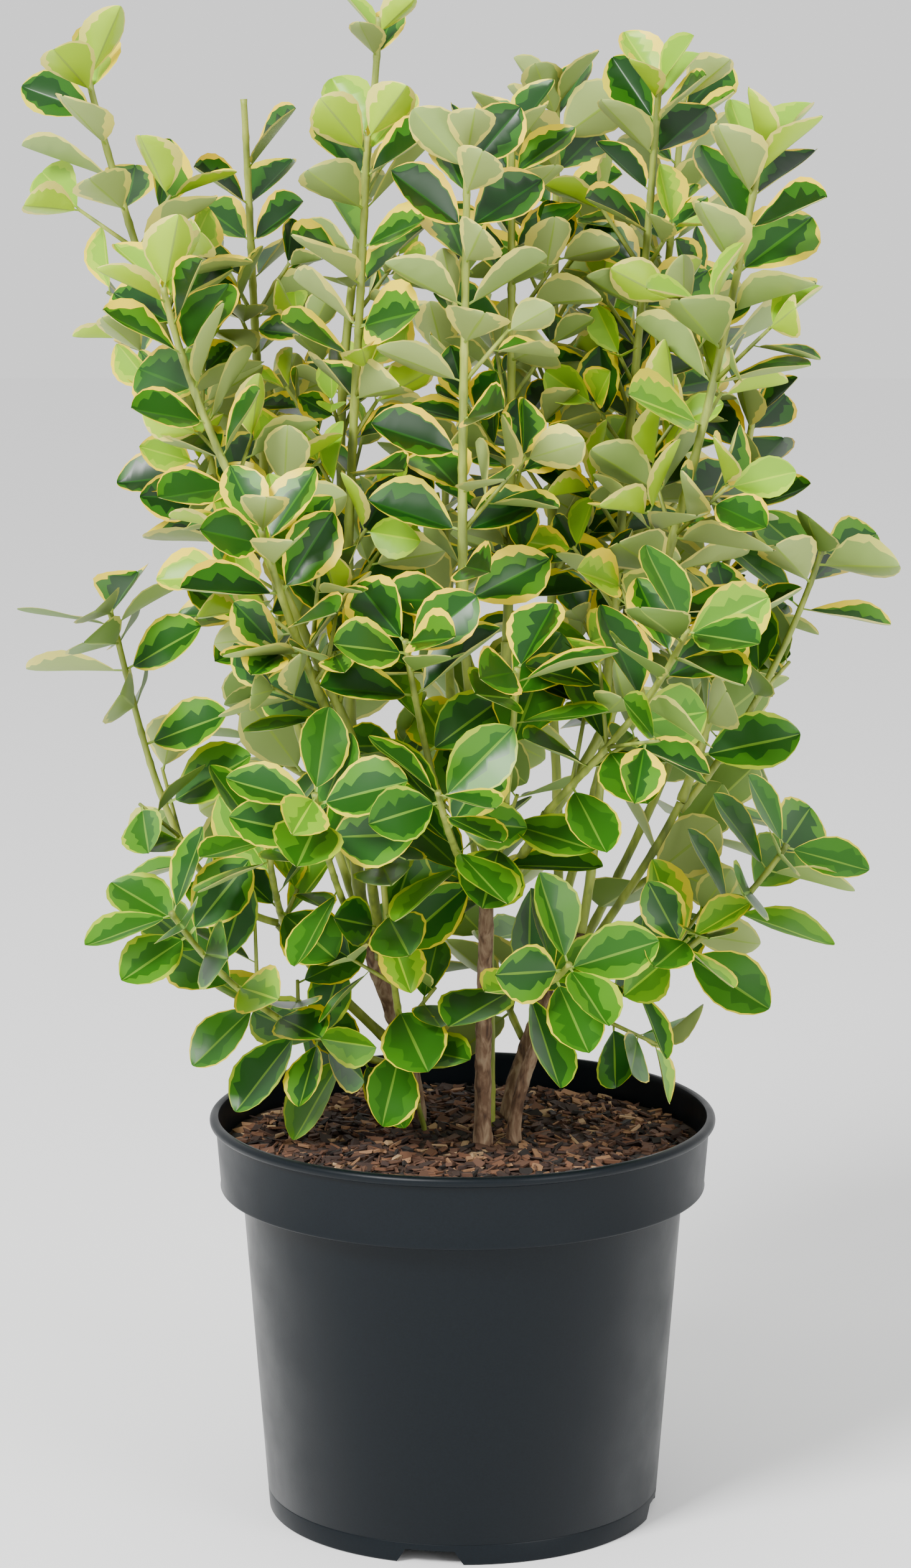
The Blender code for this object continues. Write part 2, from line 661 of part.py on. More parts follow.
def build_masses(room, paths):
    for name, mass in grow_masses(room, paths).items():
        shapes = [tube(mass["path"], mass["radii"], TWIG_SIDES)]
        shapes += [tube(twig["path"], twig["radii"], TWIG_SIDES) for twig in mass["twigs"]]
        shapes += [leaf_solid(leaf) for leaf in mass["kept"]]
        fused(name, shapes, leaf_green())


def main():
    clear_scene()
    build_pot()
    build_soil()
    room = Room()
    paths = {}
    build_stems(room, paths)
    build_boughs(room, paths)
    build_masses(room, paths)


main()
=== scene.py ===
"""The looks of the potted Japanese spindle, in metres with +Z up, grown on from its solids."""

import math
import random

import bmesh
import bpy
import numpy as np
from mathutils import Matrix, Vector, noise
from mathutils.bvhtree import BVHTree


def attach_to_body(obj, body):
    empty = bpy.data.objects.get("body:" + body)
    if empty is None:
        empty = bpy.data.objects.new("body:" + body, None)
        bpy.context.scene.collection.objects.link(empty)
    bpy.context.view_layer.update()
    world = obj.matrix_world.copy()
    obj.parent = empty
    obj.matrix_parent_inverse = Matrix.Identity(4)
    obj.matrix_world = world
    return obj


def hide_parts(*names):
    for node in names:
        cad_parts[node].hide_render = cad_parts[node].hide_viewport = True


UP = Vector((0.0, 0.0, 1.0))
NEARLY_UP = 0.95

# Clearance between a limb and what carries it
GAP = 0.0003

# Camera: where it stands, how far it looks down, its focal length and picture in pixels
CAMERA_PLACE = (-0.0039, -2.6, 0.9055)
CAMERA_DOWN = math.radians(10.8)
FOCAL_PIXELS = 7780.0
PICTURE_HEIGHT = 2520.0
SENSOR_MILLIMETRES = 24.0

# Stage: the floor's half-width, the world's light, and the lamps with place, size and power
FLOOR_HALF = 6.0
WORLD_STRENGTH = 1.15
LAMP_AIM = Vector((0.0, 0.0, 0.45))
LAMPS = [
    ("key", (-1.5, -2.0, 2.6), (1.0, 1.0), 190.0),
    ("fill", (1.9, -2.0, 1.3), (1.2, 1.6), 40.0),
]

# Pot and soil, as in the part
RIM_RADIUS = 0.1400
POT_HEIGHT = 0.2249
FOOT_RADIUS = 0.1082
WALL = 0.0018
SHOULDER_RADIUS = 0.1222
COLLAR_FOOT_RADIUS = 0.1343
COLLAR_TOP_RADIUS = 0.1366
COLLAR_FOOT = 0.1840
LIP_FOOT = 0.2190
SHELF = 0.0025
PAD_RADIUS = 0.0840
CHANNEL_HEIGHT = 0.0095
FLOOR = 0.0020
NOTCHES = 4
NOTCH_BEARING = math.radians(-99.5)
NOTCH_WIDTH = 0.0370
NOTCH_TOP_WIDTH = 0.0270
NOTCH_HEIGHT = 0.0079
NOTCH_BELOW = 0.004
NOTCH_REACH = 0.008
SOIL_TOP = 0.2080
SOIL_RADIUS = 0.1338

# Finer forms of the pot: its foot ring, the groove above it, and its rounded edges
POT_SIDES = 200
FOOT_RING = 0.0030
FOOT_BEVEL = 0.0006
RING_BEVEL = 0.0003
CHANNEL_DRAFT = 0.0020
GROOVE_HEIGHT = 0.0115
GROOVE_HALF = 0.0006
GROOVE_DEPTH = 0.00035
SHOULDER_BEND = 0.002
SHOULDER_ROUND = 0.0015
COLLAR_ROUND = 0.0012
COLLAR_WAIST = 0.0003
COLLAR_WAIST_HEIGHT = 0.0026
LIP_ROUND = 0.0028
LIP_FLAT = 0.0010
LIP_INNER_ROUND = 0.0012
LIP_DEPTH = 0.0040
SHARP_ANGLE = math.radians(40)

# Mulch: how its bed rises and falls, and the chips that lie on it, at slants in radians
BED_RINGS = 26
BED_SIDES = 96
BED_CENTRE = 0.0002
BED_RISE = 0.0006
BED_WAVE = 0.0018
BED_GRAIN = 160
BED_SLICE = 3.0
EDGE_FALL = 0.003
BARK_CHIPS = 2600
CHIP_MARGIN = 0.007
CHIP_GAP = 0.001
SLIVERS = 0.35
SLIVER_LENGTH = (0.006, 0.017)
SLIVER_WIDTH = (0.0010, 0.0022)
CHIP_LENGTH = (0.004, 0.011)
CHIP_BREADTH = (0.45, 0.85)
CHIP_THICKNESS = (0.0007, 0.0020)
CHIP_HEIGHT = (0.0004, 0.0032)
CHIP_ROUGHNESS = 0.85
CHIP_ROLL = 0.30
CHIP_PITCH = 0.22
CHIP_TAPER = (0.55, 1.0)
CHIP_NARROW = (0.5, 1.0)

# Leaves: nearer to their real size than those of the solids, and so more of them
FINE_LENGTH = 0.0540
LEAF_WIDTH = 0.0335
LEAF_BROADEST = 0.58
LEAF_THICKNESS = 0.0006
ROOT_THICKNESS = 0.0010
LEAF_ARCH = 0.03
LEAF_DROOP = 0.07
LEAF_NECK = 0.0090
LEAF_SHINE = 0.30
MOST_LEAVES = 2600
LENGTH_SPREAD = (0.90, 1.10)
WIDTH_SPREAD = (0.92, 1.08)

# How leaves sit, with leans in degrees, and ages counted in pairs from the tip
LEAN_SPREAD = 8
LEAN_AGE = 8.0
GROWN_AGE = 3.0
LIGHT_AGE = 4.0
OUTWARD_LIGHT = 0.5
PAIR_SPREAD = 0.2
FIRST_PAIR = 0.002
BARE_FOOT = 0.012
TIP_PITCH = (0.35, 0.60, 0.85)
PITCH_SPREAD = (0.85, 1.15)

# How the crown is finer than that of the solids: closer pairs, more twigs, more lean and roll
FINER = 0.62
MORE_TWIGS = 2.2
TWIGS_FROM = 6
MORE_LEAN = 8
MORE_ROLL = 22

# Leaf blades, in shares of their length or half-width, with strips of colour whose borders wander
# by the height and rate of a wave and by chance
PETIOLE = 0.11
STALK_HALF = 0.055
TIP_HALF = 0.05
BLADE_SKEW = 1.16
BLADE_FULLNESS = 0.62
BLADE_ROWS = [
    0.0, 0.06, 0.11, 0.145, 0.19, 0.25, 0.32, 0.39, 0.46, 0.53,
    0.60, 0.67, 0.74, 0.80, 0.86, 0.91, 0.95, 0.98, 1.0,
]
TOOTH = 0.016
BLADE_DEPTH = 0.55
BLADE_THICKNESS = 0.010
RIB_HALF = 0.045
RIB_GROOVE = 0.006
FOLD_SPREAD = (0.7, 1.3)
FOLD_POWER = 1.25
CURL = (0.04, 0.14)
CURL_FROM = 0.25
RIPPLE = 0.030
RIPPLE_RATE = 6.0
RIPPLE_SHIFT = 1.5
MARGIN_WANDER = (0.5, 6, 0.45)
HEART_WANDER = (0.30, 5, 0.35)
MARGIN_LIMIT = 0.94
LEAST_STRIP = 0.05
LEAST_HEART = 0.10
HEART_END = 0.86
HEART_END_SHARE = 0.5
SHAPES_PER_LOOK = 4

# Which look a leaf has: up to what height it is green, and the shares of each
GREEN_BELOW = 0.44
GREEN_BELOW_SPREAD = 0.05
YOUNG_AGE = 1
FRESH_SPRAYS = 0.16
GREEN_SPRAYS = 0.55
GREEN_LOW = 0.7
FRESH_LEADERS = 0.04

# Twigs: how far leaves may stand from their mass's stem, and side twigs with lean in degrees
TWIG_SPACE = 0.085
SIDE_TWIG_RADIUS = 0.0014
TWIG_TIP_RADIUS = 0.0010
TWIG_LEAN = (38, 55)
TWIG_LIFT = 0.15
TWIG_LENGTH = (0.022, 0.055)
TWIG_LEAF_SIZE = (0.74, 0.92)
TWIG_TIP_AGE = 1
TWIG_LEAVES_WAIT = 4
FEWEST_LEAVES = 2
SIDE_TWIG_SIDES = 6

# Crown: where its middle is in depth, how far it reaches, and the seed of what is random
CROWN_DEPTH = 0.020
CROWN_WIDTH = (-0.2515, 0.2435)
CROWN_DEPTHS = (-0.2050, 0.2200)
CROWN_TOP = 0.8350
SEED = 36

# Sky seen through the crown from the front and a little above: across, height and radius
SIGHT_SLOPE = 0.190
SKY = {
    "top_left_corner": (-0.250, 0.835, 0.030),
    "left_of_second_shoot": (-0.155, 0.800, 0.030),
    "right_of_second_shoot": (-0.085, 0.810, 0.025),
    "right_of_middle_shoot": (0.000, 0.805, 0.020),
    "top_right_notch": (0.100, 0.825, 0.015),
    "top_right_corner": (0.235, 0.830, 0.060),
    "upper_left_side": (-0.225, 0.690, 0.025),
    "upper_right_side": (0.220, 0.725, 0.030),
    "middle_left_side": (-0.215, 0.600, 0.035),
    "middle_right_side": (0.220, 0.625, 0.030),
    "lower_left_side": (-0.210, 0.400, 0.025),
    "lower_right_side": (0.220, 0.465, 0.030),
    "foot_left": (-0.175, 0.260, 0.025),
    "foot_right": (0.150, 0.260, 0.020),
}

# Limbs: rings along each kind, how many sides they have, how they leave and how they turn up
STEM_STEPS = 6
FRONT_STEM_STEPS = 2
STEM_SIDES = 8
BOUGH_STEPS = 5
BOUGH_SIDES = 6
SHOOT_STEPS = 5
TWIG_SIDES = 3
TIP_SHARE = 0.96
FOOT_FLARE = 1.22
STEM_TURN = 0.15
BOUGH_TURN = 0.25
BOUGH_FLAT = 0.0
FOLLOW_ON = 0.8
FARTHEST_START = 0.03
SHOOT_SHARE = 0.82

# Bark: sides, depth and grain of the relief, and how far apart and how much it swells at nodes
BROWN_BARK = dict(sides=28, depth=0.0007, grain=130.0, pitch=0.032, swell=0.10)
GREEN_BARK = dict(sides=16, depth=0.0002, grain=90.0, pitch=0.030, swell=0.14)
SHOOT_BARK = dict(sides=12, depth=0.00012, grain=90.0, swell=0.16)
BROWN_FROM = 0.003
RING_STEP = 0.003
FEWEST_RINGS = 6
FLARE_RINGS = 2.5
NODE_WIDTH = 0.09
RELIEF_ROUND = 4.0
RELIEF_FALL = 0.9
RELIEF_FINER = 2.1
RELIEF_LAYERS = 4

# Stems: the foot across and back, the tip, and the radii at both ends
STEMS = {
    "stem_left": ((-0.026, 0.036), (-0.054, -0.008, 0.332), 0.0052, 0.0038),
    "stem_front": ((-0.021, 0.010), (-0.025, 0.004, 0.229), 0.0016, 0.0014),
    "stem_centre": ((0.011, -0.014), (0.013, -0.050, 0.370), 0.0046, 0.0037),
    "stem_green": ((0.016, 0.029), (0.015, 0.036, 0.350), 0.0024, 0.0021),
    "stem_back": ((0.026, 0.043), (0.050, 0.052, 0.290), 0.0042, 0.0034),
    "stem_right": ((0.028, -0.008), (0.064, -0.030, 0.332), 0.0035, 0.0029),
}

# Boughs: what each grows from, how far along it, the tip, and the radii at both ends
BOUGHS = {
    "bough_mid_left": ("stem_left", 1.00, (-0.062, -0.036, 0.505), 0.0036, 0.0034),
    "bough_left": ("stem_left", 0.86, (-0.058, -0.078, 0.446), 0.0030, 0.0027),
    "bough_far_left": ("stem_left", 0.90, (-0.098, 0.030, 0.463), 0.0026, 0.0022),
    "bough_left_back": ("stem_left", 0.74, (-0.100, 0.085, 0.475), 0.0028, 0.0023),
    "bough_back_left": ("stem_left", 0.55, (-0.074, 0.115, 0.395), 0.0024, 0.0020),
    "bough_low_left": ("stem_left", 0.40, (-0.101, 0.004, 0.330), 0.0029, 0.0023),
    "bough_middle": ("stem_centre", 1.00, (0.001, -0.082, 0.500), 0.0028, 0.0026),
    "bough_mid_right": ("stem_centre", 0.86, (0.024, -0.012, 0.490), 0.0032, 0.0030),
    "bough_front_right": ("stem_centre", 0.95, (0.044, -0.092, 0.411), 0.0027, 0.0024),
    "bough_far_right": ("stem_centre", 0.90, (0.086, -0.052, 0.472), 0.0028, 0.0026),
    "bough_tallest": ("stem_green", 1.00, (-0.062, 0.048, 0.520), 0.0021, 0.0019),
    "bough_back": ("stem_green", 0.80, (-0.006, 0.118, 0.430), 0.0019, 0.0017),
    "bough_mid_back": ("stem_back", 1.00, (0.050, 0.074, 0.480), 0.0028, 0.0025),
    "bough_right_back": ("stem_back", 0.80, (0.082, 0.104, 0.416), 0.0027, 0.0023),
    "bough_far_right_back": ("stem_back", 0.90, (0.124, 0.064, 0.430), 0.0026, 0.0022),
    "bough_right": ("stem_right", 1.00, (0.080, 0.004, 0.480), 0.0026, 0.0024),
    "bough_side_right": ("stem_right", 0.80, (0.119, -0.004, 0.400), 0.0025, 0.0021),
}

# Masses: what each grows from, how far along it, the tip of its stem, its habit and leaf size
MASSES = {
    "leaves_far_left": ("bough_far_left", 1.0, (-0.201, 0.020, 0.792), "leader", 1.0),
    "leaves_left": ("bough_left", 1.0, (-0.157, -0.062, 0.686), "leaning", 1.0),
    "leaves_left_front": ("bough_left", TIP_SHARE, (-0.104, -0.125, 0.567), "leader", 1.0),
    "leaves_left_back": ("bough_left_back", 1.0, (-0.121, 0.100, 0.776), "leader", 0.9),
    "leaves_mid_left": ("bough_mid_left", 1.0, (-0.050, -0.050, 0.764), "leader", 1.0),
    "leaves_tallest": ("bough_tallest", 1.0, (-0.045, 0.030, 0.823), "leader", 0.7),
    "leaves_middle": ("bough_middle", 1.0, (0.002, -0.085, 0.757), "leader", 0.9),
    "leaves_mid_right": ("bough_mid_right", 1.0, (0.026, -0.020, 0.763), "leader", 0.9),
    "leaves_mid_back": ("bough_mid_back", 1.0, (0.052, 0.090, 0.775), "leader", 0.95),
    "leaves_right": ("bough_right", 1.0, (0.104, -0.010, 0.790), "leader", 0.9),
    "leaves_right_back": ("bough_right_back", 1.0, (0.123, 0.115, 0.777), "leader", 1.0),
    "leaves_far_right": ("bough_far_right", 1.0, (0.156, -0.045, 0.753), "leader", 1.1),
    "leaves_far_right_back": ("bough_far_right_back", 1.0, (0.163, 0.105, 0.600), "leader", 0.9),
    "leaves_right_inner": ("bough_side_right", 1.0, (0.146, -0.012, 0.503), "leader", 1.0),
    "leaves_right_side": ("bough_side_right", TIP_SHARE, (0.196, 0.020, 0.535), "spray", 1.0),
    "leaves_left_side": ("bough_low_left", 1.0, (-0.192, 0.004, 0.505), "arching", 1.0),
    "leaves_low_right": ("stem_right", 0.62, (0.174, -0.055, 0.387), "spray", 1.0),
    "leaves_low_left": ("stem_left", 0.30, (-0.156, -0.070, 0.353), "spray", 1.0),
    "leaves_mid_low_left": ("bough_low_left", TIP_SHARE, (-0.104, -0.075, 0.395), "spray", 1.0),
    "leaves_front_left": ("stem_left", 0.95, (-0.077, -0.135, 0.430), "spray", 1.0),
    "leaves_front_right": ("bough_front_right", 1.0, (0.115, -0.150, 0.519), "spray", 1.0),
    "leaves_front_centre": ("stem_centre", 0.98, (-0.013, -0.150, 0.434), "spray", 1.0),
    "leaves_front_upper": ("stem_centre", 0.92, (-0.030, -0.130, 0.510), "spray", 1.0),
    "leaves_front_mid": ("stem_centre", TIP_SHARE, (0.028, -0.140, 0.497), "spray", 1.0),
    "leaves_foot": ("stem_front", 1.0, (-0.044, -0.095, 0.400), "spray", 1.0),
    "leaves_low_front": ("stem_centre", 0.62, (0.056, -0.115, 0.335), "spray", 1.0),
    "leaves_low_middle": ("stem_back", 0.55, (0.008, 0.110, 0.330), "spray", 1.0),
    "leaves_low_inner": ("bough_side_right", 0.50, (0.135, 0.055, 0.385), "spray", 1.0),
    "leaves_back_left": ("bough_back_left", 1.0, (-0.122, 0.165, 0.590), "leader", 1.0),
    "leaves_back": ("bough_back", 1.0, (-0.010, 0.195, 0.630), "leader", 1.0),
    "leaves_back_right": ("bough_right_back", TIP_SHARE, (0.098, 0.190, 0.590), "leader", 1.0),
    "leaves_low_back_left": ("bough_back_left", TIP_SHARE, (-0.120, 0.165, 0.410), "spray", 1.0),
    "leaves_low_back": ("bough_back", TIP_SHARE, (0.010, 0.205, 0.420), "spray", 1.0),
    "leaves_low_back_right": ("bough_far_right_back", TIP_SHARE, (0.150, 0.150, 0.430), "spray", 1.0),
}

# Habits: node spacing, lean of a leaf from its twig at the tip and at the foot in degrees, size of
# the youngest leaf, share of leaves with a side twig, how much leaves turn to the light, how far
# they roll in degrees, how flat the stem starts, how much it turns up, and its end radii
LEADER = dict(
    pitch=0.033, lean_tip=42, lean_foot=68, young=0.75, twiggy=0.22, light=0.35, roll=40,
    flat=0.05, turn=0.35, foot=0.0034, tip=0.0018,
)
SPRAY = dict(
    pitch=0.028, lean_tip=64, lean_foot=72, young=0.92, twiggy=0.20, light=0.80, roll=25,
    flat=0.30, turn=0.60, foot=0.0026, tip=0.0016,
)
HABITS = {
    "leader": LEADER,
    "leaning": dict(LEADER, pitch=0.031, twiggy=0.26, light=0.40, flat=0.45, turn=0.80),
    "spray": SPRAY,
    "arching": dict(
        SPRAY, lean_tip=75, lean_foot=70, young=0.95, light=0.70, roll=30, flat=1.30, turn=0.80
    ),
}


def hermite(start, leave, end, arrive, t):
    """A point of the curve that leaves start and arrives at end along the given vectors."""
    a = 2 * t**3 - 3 * t**2 + 1
    b = t**3 - 2 * t**2 + t
    c = 3 * t**2 - 2 * t**3
    d = t**3 - t**2
    return a * start + b * leave + c * end + d * arrive


def limb_path(start, end, leave, turn, steps):
    """Points of a limb that leaves along a direction and turns up to the light at its end."""
    chord = end - start
    length = chord.length
    arrive = (chord / length + turn * UP).normalized()
    return [hermite(start, length * leave, end, length * arrive, i / steps) for i in range(steps + 1)]


def point_at(path, share):
    """The point and direction at a share of the path's steps."""
    place = min(max(share, 0.0), 1.0) * (len(path) - 1)
    index = min(int(place), len(path) - 2)
    step = path[index + 1] - path[index]
    return path[index] + (place - index) * step, step.normalized()


def any_side(direction):
    level = UP if abs(direction.z) < NEARLY_UP else Vector((1.0, 0.0, 0.0))
    return direction.cross(level).normalized()


def tube(path, radii, sides):
    """Points and faces of a tapering tube with flat ends."""
    points, faces = [], []
    side = any_side(path[1] - path[0])
    for index, centre in enumerate(path):
        ahead = (path[min(index + 1, len(path) - 1)] - path[max(index - 1, 0)]).normalized()
        side = (side - side.dot(ahead) * ahead).normalized()
        other = ahead.cross(side)
        for corner in range(sides):
            angle = math.tau * corner / sides
            points.append(centre + radii[index] * (math.cos(angle) * side + math.sin(angle) * other))
    for ring in range(len(path) - 1):
        for corner in range(sides):
            a, b = ring * sides + corner, ring * sides + (corner + 1) % sides
            faces.append((a, b, b + sides, a + sides))
    last = (len(path) - 1) * sides
    faces.append(tuple(reversed(range(sides))))
    faces.append(tuple(range(last, last + sides)))
    return points, faces


def tapering(count, foot, tip):
    return [foot + (tip - foot) * i / (count - 1) for i in range(count)]


class Room:
    """The space that is already taken, as small surface trees with a centre and a reach."""

    def __init__(self):
        self.taken = []

    def ball(self, points):
        centre = sum(points, Vector()) / len(points)
        return centre, max((point - centre).length for point in points)

    def free(self, shape, own=None):
        """True where the shape meets nothing but what its own owner has."""
        points, faces = shape
        centre, reach = self.ball(points)
        tree = BVHTree.FromPolygons(points, faces)
        for other, middle, far, owner in self.taken:
            near = (centre - middle).length < reach + far
            if near and (own is None or owner != own) and tree.overlap(other):
                return False
        return True

    def take(self, shape, owner):
        points, faces = shape
        self.taken.append((BVHTree.FromPolygons(points, faces), *self.ball(points), owner))


def guard(path, radii, sides):
    """A slightly fatter and longer tube, free where the real one is clear by the gap."""
    first = path[0] - GAP * (path[1] - path[0]).normalized()
    more = GAP / math.cos(math.pi / sides)
    return tube([first] + path[1:], [radius + more for radius in radii], sides)


def path_length(path):
    return sum((b - a).length for a, b in zip(path, path[1:]))


def place_leaf(rng, root, along, away, age, habit, small):
    """One leaf: its root, its direction, the way its upper side faces, its length and width."""
    lean = habit["lean_tip"] + (habit["lean_foot"] - habit["lean_tip"]) * min(age / LEAN_AGE, 1.0)
    lean = math.radians(lean + rng.uniform(-LEAN_SPREAD, LEAN_SPREAD))
    growth = habit["young"] + (1.0 - habit["young"]) * min(age / GROWN_AGE, 1.0)
    size = growth * small * rng.uniform(*LENGTH_SPREAD)
    heading = math.cos(lean) * along + math.sin(lean) * away
    upper = math.sin(lean) * along - math.cos(lean) * away
    outward = Vector((root.x, root.y - CROWN_DEPTH, 0.0)).normalized()
    light = habit["light"] * min(age / LIGHT_AGE, 1.0)
    upper = upper + light * (UP + OUTWARD_LIGHT * outward)
    upper = (upper - upper.dot(heading) * heading).normalized()
    upper = Matrix.Rotation(math.radians(rng.uniform(-1, 1) * habit["roll"]), 3, heading) @ upper
    width = LEAF_WIDTH * size * rng.uniform(*WIDTH_SPREAD)
    return dict(root=root, along=heading, upper=upper, length=FINE_LENGTH * size, width=width, age=age)


def dress(rng, path, habit, small, tip_age):
    """Leaves in crossed pairs along a twig, from its tip to its foot, and its side twigs."""
    leaves, twigs = [], []
    total = path_length(path)
    turn = rng.uniform(0, math.tau)
    side = any_side(path[-1] - path[-2])
    down, age = FIRST_PAIR, tip_age
    while down < total - BARE_FOOT:
        root, along = point_at(path, 1.0 - down / total)
        side = (side - side.dot(along) * along).normalized()
        for half in (0.0, math.pi):
            angle = turn + half + rng.uniform(-PAIR_SPREAD, PAIR_SPREAD)
            away = Matrix.Rotation(angle, 3, along) @ side
            leaves.append(place_leaf(rng, root, along, away, age, habit, small))
            if tip_age == 0 and age >= TWIGS_FROM and rng.random() < habit["twiggy"]:
                twigs.append(side_twig(rng, root, along, away, habit, small))
        turn += math.pi / 2
        down += habit["pitch"] * (TIP_PITCH[age] if age < len(TIP_PITCH) else rng.uniform(*PITCH_SPREAD))
        age += 1
    return leaves, twigs


def side_twig(rng, root, along, away, habit, size):
    """A short twig in the corner between a leaf and its stem, with smaller leaves."""
    lean = math.radians(rng.uniform(*TWIG_LEAN))
    heading = (math.cos(lean) * along + math.sin(lean) * away + TWIG_LIFT * UP).normalized()
    length = rng.uniform(*TWIG_LENGTH)
    path = [root, root + length * heading]
    leaves, _ = dress(rng, path, habit, size * rng.uniform(*TWIG_LEAF_SIZE), TWIG_TIP_AGE)
    return dict(path=path, radii=[SIDE_TWIG_RADIUS, TWIG_TIP_RADIUS], leaves=leaves, held=0)


def leaf_solid(leaf, skip=0.0):
    """A thin leaf of eight faces, which tells where there is room. Skip leaves out its root."""
    along, upper = leaf["along"], leaf["upper"]
    side = upper.cross(along)
    length, half = leaf["length"], leaf["width"] / 2
    root = leaf["root"] + skip * along
    broad = leaf["root"] + LEAF_BROADEST * length * along + LEAF_ARCH * length * upper
    points = [
        root + ROOT_THICKNESS / 2 * upper,
        root - ROOT_THICKNESS / 2 * upper,
        broad + half * side,
        broad - half * side,
        broad - LEAF_THICKNESS * upper,
        leaf["root"] + length * along - LEAF_DROOP * length * upper,
    ]
    faces = [(0, 3, 2), (3, 5, 2), (1, 2, 4), (1, 4, 3), (4, 2, 5), (4, 5, 3), (0, 2, 1), (3, 0, 1)]
    return points, faces


def in_sky(point):
    """True in a gap of the crown, which runs along the line of sight."""
    height = point.z + SIGHT_SLOPE * point.y
    return any(math.hypot(point.x - across, height - up) < radius for across, up, radius in SKY.values())


def keeps_space(leaf, path):
    """True where the leaf keeps to its mass's space, inside the crown and out of its gaps."""
    outline = leaf_solid(leaf)[0][2:]
    for point in outline:
        across = CROWN_WIDTH[0] < point.x < CROWN_WIDTH[1]
        deep = CROWN_DEPTHS[0] < point.y < CROWN_DEPTHS[1]
        if not across or not deep or point.z > CROWN_TOP or in_sky(point):
            return False
    return min((outline[-1] - point).length for point in path) < TWIG_SPACE


def fits(room, name, twig):
    """True where a side twig is clear of everything but its own stem, and it then takes its room."""
    if not room.free(guard(twig["path"], twig["radii"], TWIG_SIDES), own=name):
        return False
    start = twig["path"][0] + LEAF_NECK * (twig["path"][1] - twig["path"][0]).normalized()
    room.take(tube([start] + twig["path"][1:], twig["radii"], TWIG_SIDES), name)
    return True


def attach(room, parent, share, end, radii, turn, flat, sides):
    """The path of a limb that starts just clear of its parent, and the way it leaves."""
    origin, along = point_at(parent, share)
    chord = (end - origin).normalized()
    leave = (chord + (FOLLOW_ON * along if share == 1.0 else Vector()) - flat * UP).normalized()
    slide = along if share == 1.0 else (chord - chord.dot(along) * along).normalized()
    distance = GAP
    while distance < FARTHEST_START:
        path = limb_path(origin + distance * slide, end, leave, turn, len(radii) - 1)
        if room.free(guard(path, radii, sides)):
            return path, leave
        distance += GAP / 2
    raise ValueError("no room for a limb")


def placed(name, data):
    obj = bpy.data.objects.new(name, data)
    bpy.context.scene.collection.objects.link(obj)
    return obj


def mesh_of(name, points, faces):
    mesh = bpy.data.meshes.new(name)
    mesh.from_pydata(points, [], faces)
    return mesh


# Materials

def principled(name, colour, roughness, shine=0.5):
    """A Principled material with a plain colour."""
    made = bpy.data.materials.new(name)
    made.use_nodes = True
    shader = made.node_tree.nodes["Principled BSDF"]
    shader.inputs["Base Color"].default_value = (*colour, 1.0)
    shader.inputs["Roughness"].default_value = roughness
    shader.inputs["Specular IOR Level"].default_value = shine
    return made


def noise_chain(made, target, stops, scale, detail, distortion=0.0, stretch=(1, 1, 1)):
    """A noise pattern through a ramp, linked to one socket of the material."""
    tree = made.node_tree
    place = tree.nodes.new("ShaderNodeTexCoord")
    mapping = tree.nodes.new("ShaderNodeMapping")
    mapping.inputs["Scale"].default_value = stretch
    pattern = tree.nodes.new("ShaderNodeTexNoise")
    pattern.inputs["Scale"].default_value = scale
    pattern.inputs["Detail"].default_value = detail
    pattern.inputs["Distortion"].default_value = distortion
    ramp = tree.nodes.new("ShaderNodeValToRGB")
    marks = ramp.color_ramp.elements
    marks[0].position, marks[0].color = stops[0]
    marks[1].position, marks[1].color = stops[-1]
    for position, colour in stops[1:-1]:
        marks.new(position).color = colour
    tree.links.new(place.outputs["Object"], mapping.inputs["Vector"])
    tree.links.new(mapping.outputs["Vector"], pattern.inputs["Vector"])
    tree.links.new(pattern.outputs["Fac"], ramp.inputs["Fac"])
    tree.links.new(ramp.outputs["Color"], tree.nodes["Principled BSDF"].inputs[target])
    return pattern


def bump(made, source, strength, distance):
    """Dents that follow a noise pattern."""
    tree = made.node_tree
    dents = tree.nodes.new("ShaderNodeBump")
    dents.inputs["Strength"].default_value = strength
    dents.inputs["Distance"].default_value = distance
    tree.links.new(source.outputs["Fac"], dents.inputs["Height"])
    tree.links.new(dents.outputs["Normal"], tree.nodes["Principled BSDF"].inputs["Normal"])


def pot_material():
    made = principled("pot_slate", (0.002, 0.004, 0.006), roughness=0.34, shine=0.16)
    grey = [(0.30, (0.30, 0.30, 0.30, 1)), (0.75, (0.44, 0.44, 0.44, 1))]
    noise_chain(made, "Roughness", grey, scale=30.0, detail=5.0)
    tone = [(0.25, (0.0016, 0.0034, 0.0052, 1)), (0.75, (0.0026, 0.0052, 0.0078, 1))]
    grain = noise_chain(made, "Base Color", tone, scale=900.0, detail=2.0)
    bump(made, grain, strength=0.10, distance=0.0002)
    return made


def bark_material():
    made = principled("stem_bark", (0.20, 0.12, 0.07), roughness=0.85)
    tone = [
        (0.30, (0.055, 0.028, 0.016, 1)), (0.46, (0.170, 0.095, 0.052, 1)),
        (0.60, (0.300, 0.200, 0.120, 1)), (0.75, (0.390, 0.300, 0.190, 1)),
    ]
    grain = noise_chain(made, "Base Color", tone, 260.0, 6.0, distortion=0.6, stretch=(1.0, 1.0, 0.30))
    bump(made, grain, strength=0.8, distance=0.0012)
    return made


